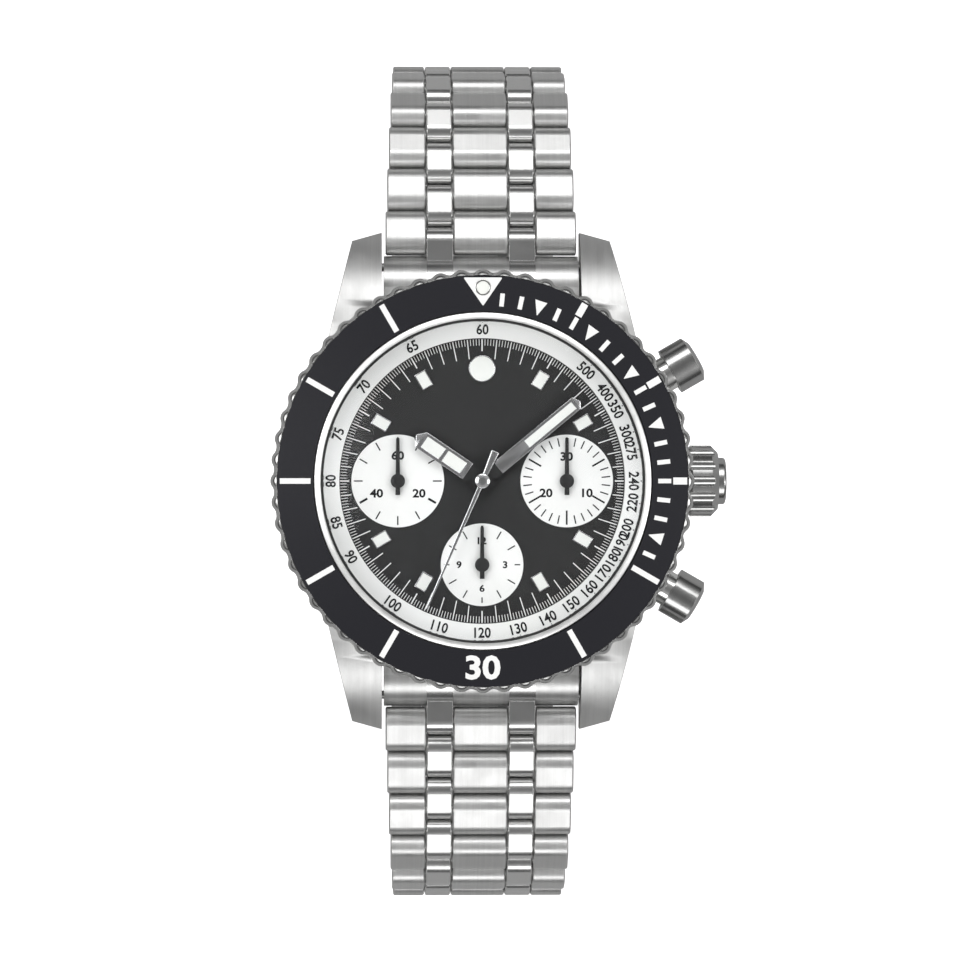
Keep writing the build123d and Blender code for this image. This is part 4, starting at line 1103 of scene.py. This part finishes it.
class WATCH_OT_pushers(bpy.types.Operator):
    """Finish the two pushers"""

    bl_idname = "watch.pushers"
    bl_label = "Pushers"

    def execute(self, context):
        dress("knob_steel", "pusher_upper", "pusher_lower")
        return {"FINISHED"}


class WATCH_OT_bracelet(bpy.types.Operator):
    """Finish the end links and the rows of the bracelet"""

    bl_idname = "watch.bracelet"
    bl_label = "Bracelet"

    def execute(self, context):
        rows = sorted(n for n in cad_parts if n.startswith("row_"))
        dress("bracelet_steel", "end_links", *rows)
        return {"FINISHED"}


class WATCH_OT_clasp(bpy.types.Operator):
    """Finish the folding clasp"""

    bl_idname = "watch.clasp"
    bl_label = "Folding clasp"

    def execute(self, context):
        dress("clasp_steel", "clasp_cover", "clasp_flap")
        dress("satin_steel", "clasp_leaf", "clasp_inner_leaf")
        return {"FINISHED"}


class WATCH_OT_movement(bpy.types.Operator):
    """Finish the movement: plates, bridges, jewels, wheels and rotor"""

    bl_idname = "watch.movement"
    bl_label = "Movement"

    def execute(self, context):
        dress("rhodium_brass", "bridges")
        dress("pearled_plate", "main_plate")
        dress("satin_steel", "movement_ring")
        dress("ruby_jewel", "jewels")
        dress("blued_steel", "movement_screws")
        dress("gilt_brass", "barrel", "centre_wheel", "balance_wheel")
        dress("rotor_metal", "rotor")
        return {"FINISHED"}


class WATCH_OT_studio(bpy.types.Operator):
    """Set the pale floor, the soft lights and the camera"""

    bl_idname = "watch.studio"
    bl_label = "Studio"

    def execute(self, context):
        scene = context.scene
        lowest = CAD_BOX[0].z
        circles = [(radius, 0.0) for radius in (0.0, 300.0, 1200.0, 3500.0)]
        floor_points, floor_faces = lathe(circles, 96, closed=False)
        mesh = bpy.data.meshes.new("floor")
        mesh.from_pydata([(x * MM, y * MM, lowest - 0.00002) for x, y, z in floor_points], [], floor_faces)
        mesh.materials.append(pale_floor())
        floor = bpy.data.objects.new("floor", mesh)
        scene.collection.objects.link(floor)
        strength = look().light_strength
        for name, spot, size, power in (
            ("softbox_left", (-0.55, 0.1, 0.6), (0.4, 0.7), 9.0),
            ("softbox_right", (0.6, -0.05, 0.5), (0.3, 0.7), 6.0),
            ("softbox_far", (0.05, 0.55, 0.6), (0.7, 0.35), 7.0),
            ("softbox_near", (-0.05, -0.6, 0.5), (0.7, 0.3), 5.0),
        ):
            lamp = bpy.data.lights.new(name, "AREA")
            lamp.shape = "RECTANGLE"
            lamp.size, lamp.size_y = size
            lamp.energy = power * strength
            holder = bpy.data.objects.new(name, lamp)
            holder.location = spot
            aim = Vector((0.0, 0.0, 0.0)) - holder.location
            holder.rotation_euler = aim.to_track_quat("-Z", "Y").to_euler()
            scene.collection.objects.link(holder)
        scene.world = soft_sky()
        camera = bpy.data.cameras.new("camera")
        camera.sensor_width = SENSOR
        camera.lens = SENSOR * look().camera_distance / look().view_width
        camera.clip_start, camera.clip_end = 0.01, 20.0
        holder = bpy.data.objects.new("camera", camera)
        target = Vector((*AIM, DIAL_TOP * MM))
        holder.location = target + Vector((-CAMERA_ASIDE, 0.0, look().camera_distance))
        holder.rotation_euler = (0.0, -math.atan2(CAMERA_ASIDE, look().camera_distance), 0.0)
        scene.collection.objects.link(holder)
        scene.camera = holder
        scene.view_settings.view_transform = "Standard"
        return {"FINISHED"}


def pale_floor():
    """Matt white paper. It looks pale to its edge, and reflects in the steel as a darker table."""
    made, tree, shader = new_material("pale_floor")
    speckle = use_group(tree, "surface_speckle", {"Scale": 900.0})
    base = mixed(tree, speckle["Cloud"], (0.93, 0.93, 0.93, 1.0), (0.95, 0.95, 0.95, 1.0))
    link(tree, base, shader, "Base Color")
    shader.inputs["Roughness"].default_value = 0.9
    shader.inputs["Specular IOR Level"].default_value = 0.1
    shader.inputs["Emission Color"].default_value = (1.0, 1.0, 1.0, 1.0)
    shader.inputs["Emission Strength"].default_value = 0.62
    table = add(tree, "BsdfDiffuse", {"Color": (0.42, 0.42, 0.42, 1.0)})
    seen = add(tree, "LightPath").outputs["Is Camera Ray"]
    both = add(tree, "MixShader", {0: seen, 1: table.outputs["BSDF"], 2: shader.outputs["BSDF"]})
    output = next(n for n in tree.nodes if n.type == "OUTPUT_MATERIAL")
    tree.links.new(both.outputs[0], output.inputs["Surface"])
    return made


def soft_sky():
    """A pale room: grey overhead, bright round the sides."""
    world = bpy.data.worlds.new("soft_sky")
    world.use_nodes = True
    tree = world.node_tree
    tree.nodes.clear()
    direction = add(tree, "TexCoord").outputs["Generated"]
    height = add(tree, "SeparateXYZ", {0: direction}).outputs["Z"]
    ramp = add(tree, "ValToRGB", {"Fac": height})
    stops = ((0.0, 0.12), (0.25, 0.22), (0.5, 0.85), (0.75, 1.2), (0.92, 0.7), (1.0, 0.35))
    line = ramp.color_ramp
    for place, value in stops[:-2]:
        line.elements.new(place).color = (value, value, value, 1.0)
    line.elements[0].color = (stops[0][1],) * 3 + (1.0,)
    last = line.elements[-1]
    last.position, last.color = 1.0, (stops[-1][1],) * 3 + (1.0,)
    line.elements.new(stops[-2][0]).color = (stops[-2][1],) * 3 + (1.0,)
    back = add(tree, "Background", {"Color": ramp.outputs["Color"], "Strength": look().sky_strength})
    add(tree, "OutputWorld", {"Surface": back.outputs[0]})
    return world


# ------------------------------------------------------------------ add-on
class WatchLook(bpy.types.PropertyGroup):
    """Sizes and colours that a user may change before running the operators"""

    tick_width: FloatProperty(
        name="Tick width",
        description="Width of the finest tick of the dial's rim",
        default=0.06 * MM,
        unit="LENGTH",
    )
    speed_height: FloatProperty(
        name="Speed numerals",
        description="Height of the speed scale's numerals",
        default=0.98 * MM,
        unit="LENGTH",
    )
    hour_width: FloatProperty(
        name="Hour hand", description="Width of the hour hand", default=1.87 * MM, unit="LENGTH"
    )
    minute_width: FloatProperty(
        name="Minute hand", description="Width of the minute hand", default=1.42 * MM, unit="LENGTH"
    )
    steel_colour: FloatVectorProperty(
        name="Steel",
        description="Colour of the body and the bracelet",
        default=(0.60, 0.60, 0.595),
        subtype="COLOR",
        min=0.0,
        max=1.0,
    )
    dial_colour: FloatVectorProperty(
        name="Dial",
        description="Colour of the dial plate",
        default=(0.003, 0.003, 0.0034),
        subtype="COLOR",
        min=0.0,
        max=1.0,
    )
    insert_colour: FloatVectorProperty(
        name="Insert",
        description="Colour of the bezel insert",
        default=(0.0035, 0.0035, 0.004),
        subtype="COLOR",
        min=0.0,
        max=1.0,
    )
    ring_colour: FloatVectorProperty(
        name="White ring",
        description="Colour of the speed ring and the counters",
        default=(0.88, 0.875, 0.865),
        subtype="COLOR",
        min=0.0,
        max=1.0,
    )
    paint_colour: FloatVectorProperty(
        name="Luminous paint",
        description="Colour of the hands' fill and the markers",
        default=(0.86, 0.87, 0.83),
        subtype="COLOR",
        min=0.0,
        max=1.0,
    )
    camera_distance: FloatProperty(
        name="Camera distance", description="From the dial to the camera", default=0.43, unit="LENGTH"
    )
    view_width: FloatProperty(
        name="View width",
        description="Width that the camera sees at the dial",
        default=0.096,
        unit="LENGTH",
    )
    light_strength: FloatProperty(
        name="Lights", description="Factor on the power of all softboxes", default=0.3, min=0.0
    )
    sky_strength: FloatProperty(
        name="Room light", description="Strength of the pale room round the watch", default=0.5, min=0.0
    )


class WATCH_PT_panel(bpy.types.Panel):
    """Lists the sizes and the operators of the watch"""

    bl_label = "Watch"
    bl_idname = "WATCH_PT_panel"
    bl_space_type = "VIEW_3D"
    bl_region_type = "UI"
    bl_category = "Watch"

    def draw(self, context):
        for name in WatchLook.__annotations__:
            self.layout.prop(context.scene.watch_look, name)
        for operator in OPERATORS:
            self.layout.operator(operator.bl_idname)


OPERATORS = (
    WATCH_OT_body,
    WATCH_OT_bezel,
    WATCH_OT_insert,
    WATCH_OT_crystal,
    WATCH_OT_speed_scale,
    WATCH_OT_dial,
    WATCH_OT_counters,
    WATCH_OT_hands,
    WATCH_OT_counter_hands,
    WATCH_OT_crown,
    WATCH_OT_pushers,
    WATCH_OT_bracelet,
    WATCH_OT_clasp,
    WATCH_OT_movement,
    WATCH_OT_studio,
)
CLASSES = (WatchLook, *OPERATORS, WATCH_PT_panel)


def register():
    for cls in CLASSES:
        bpy.utils.register_class(cls)
    bpy.types.Scene.watch_look = PointerProperty(type=WatchLook)


def unregister():
    del bpy.types.Scene.watch_look
    for cls in reversed(CLASSES):
        bpy.utils.unregister_class(cls)


def main():
    register()
    for operator in OPERATORS:
        group, name = operator.bl_idname.split(".")
        getattr(getattr(bpy.ops, group), name)()


if __name__ == "__main__":
    main()
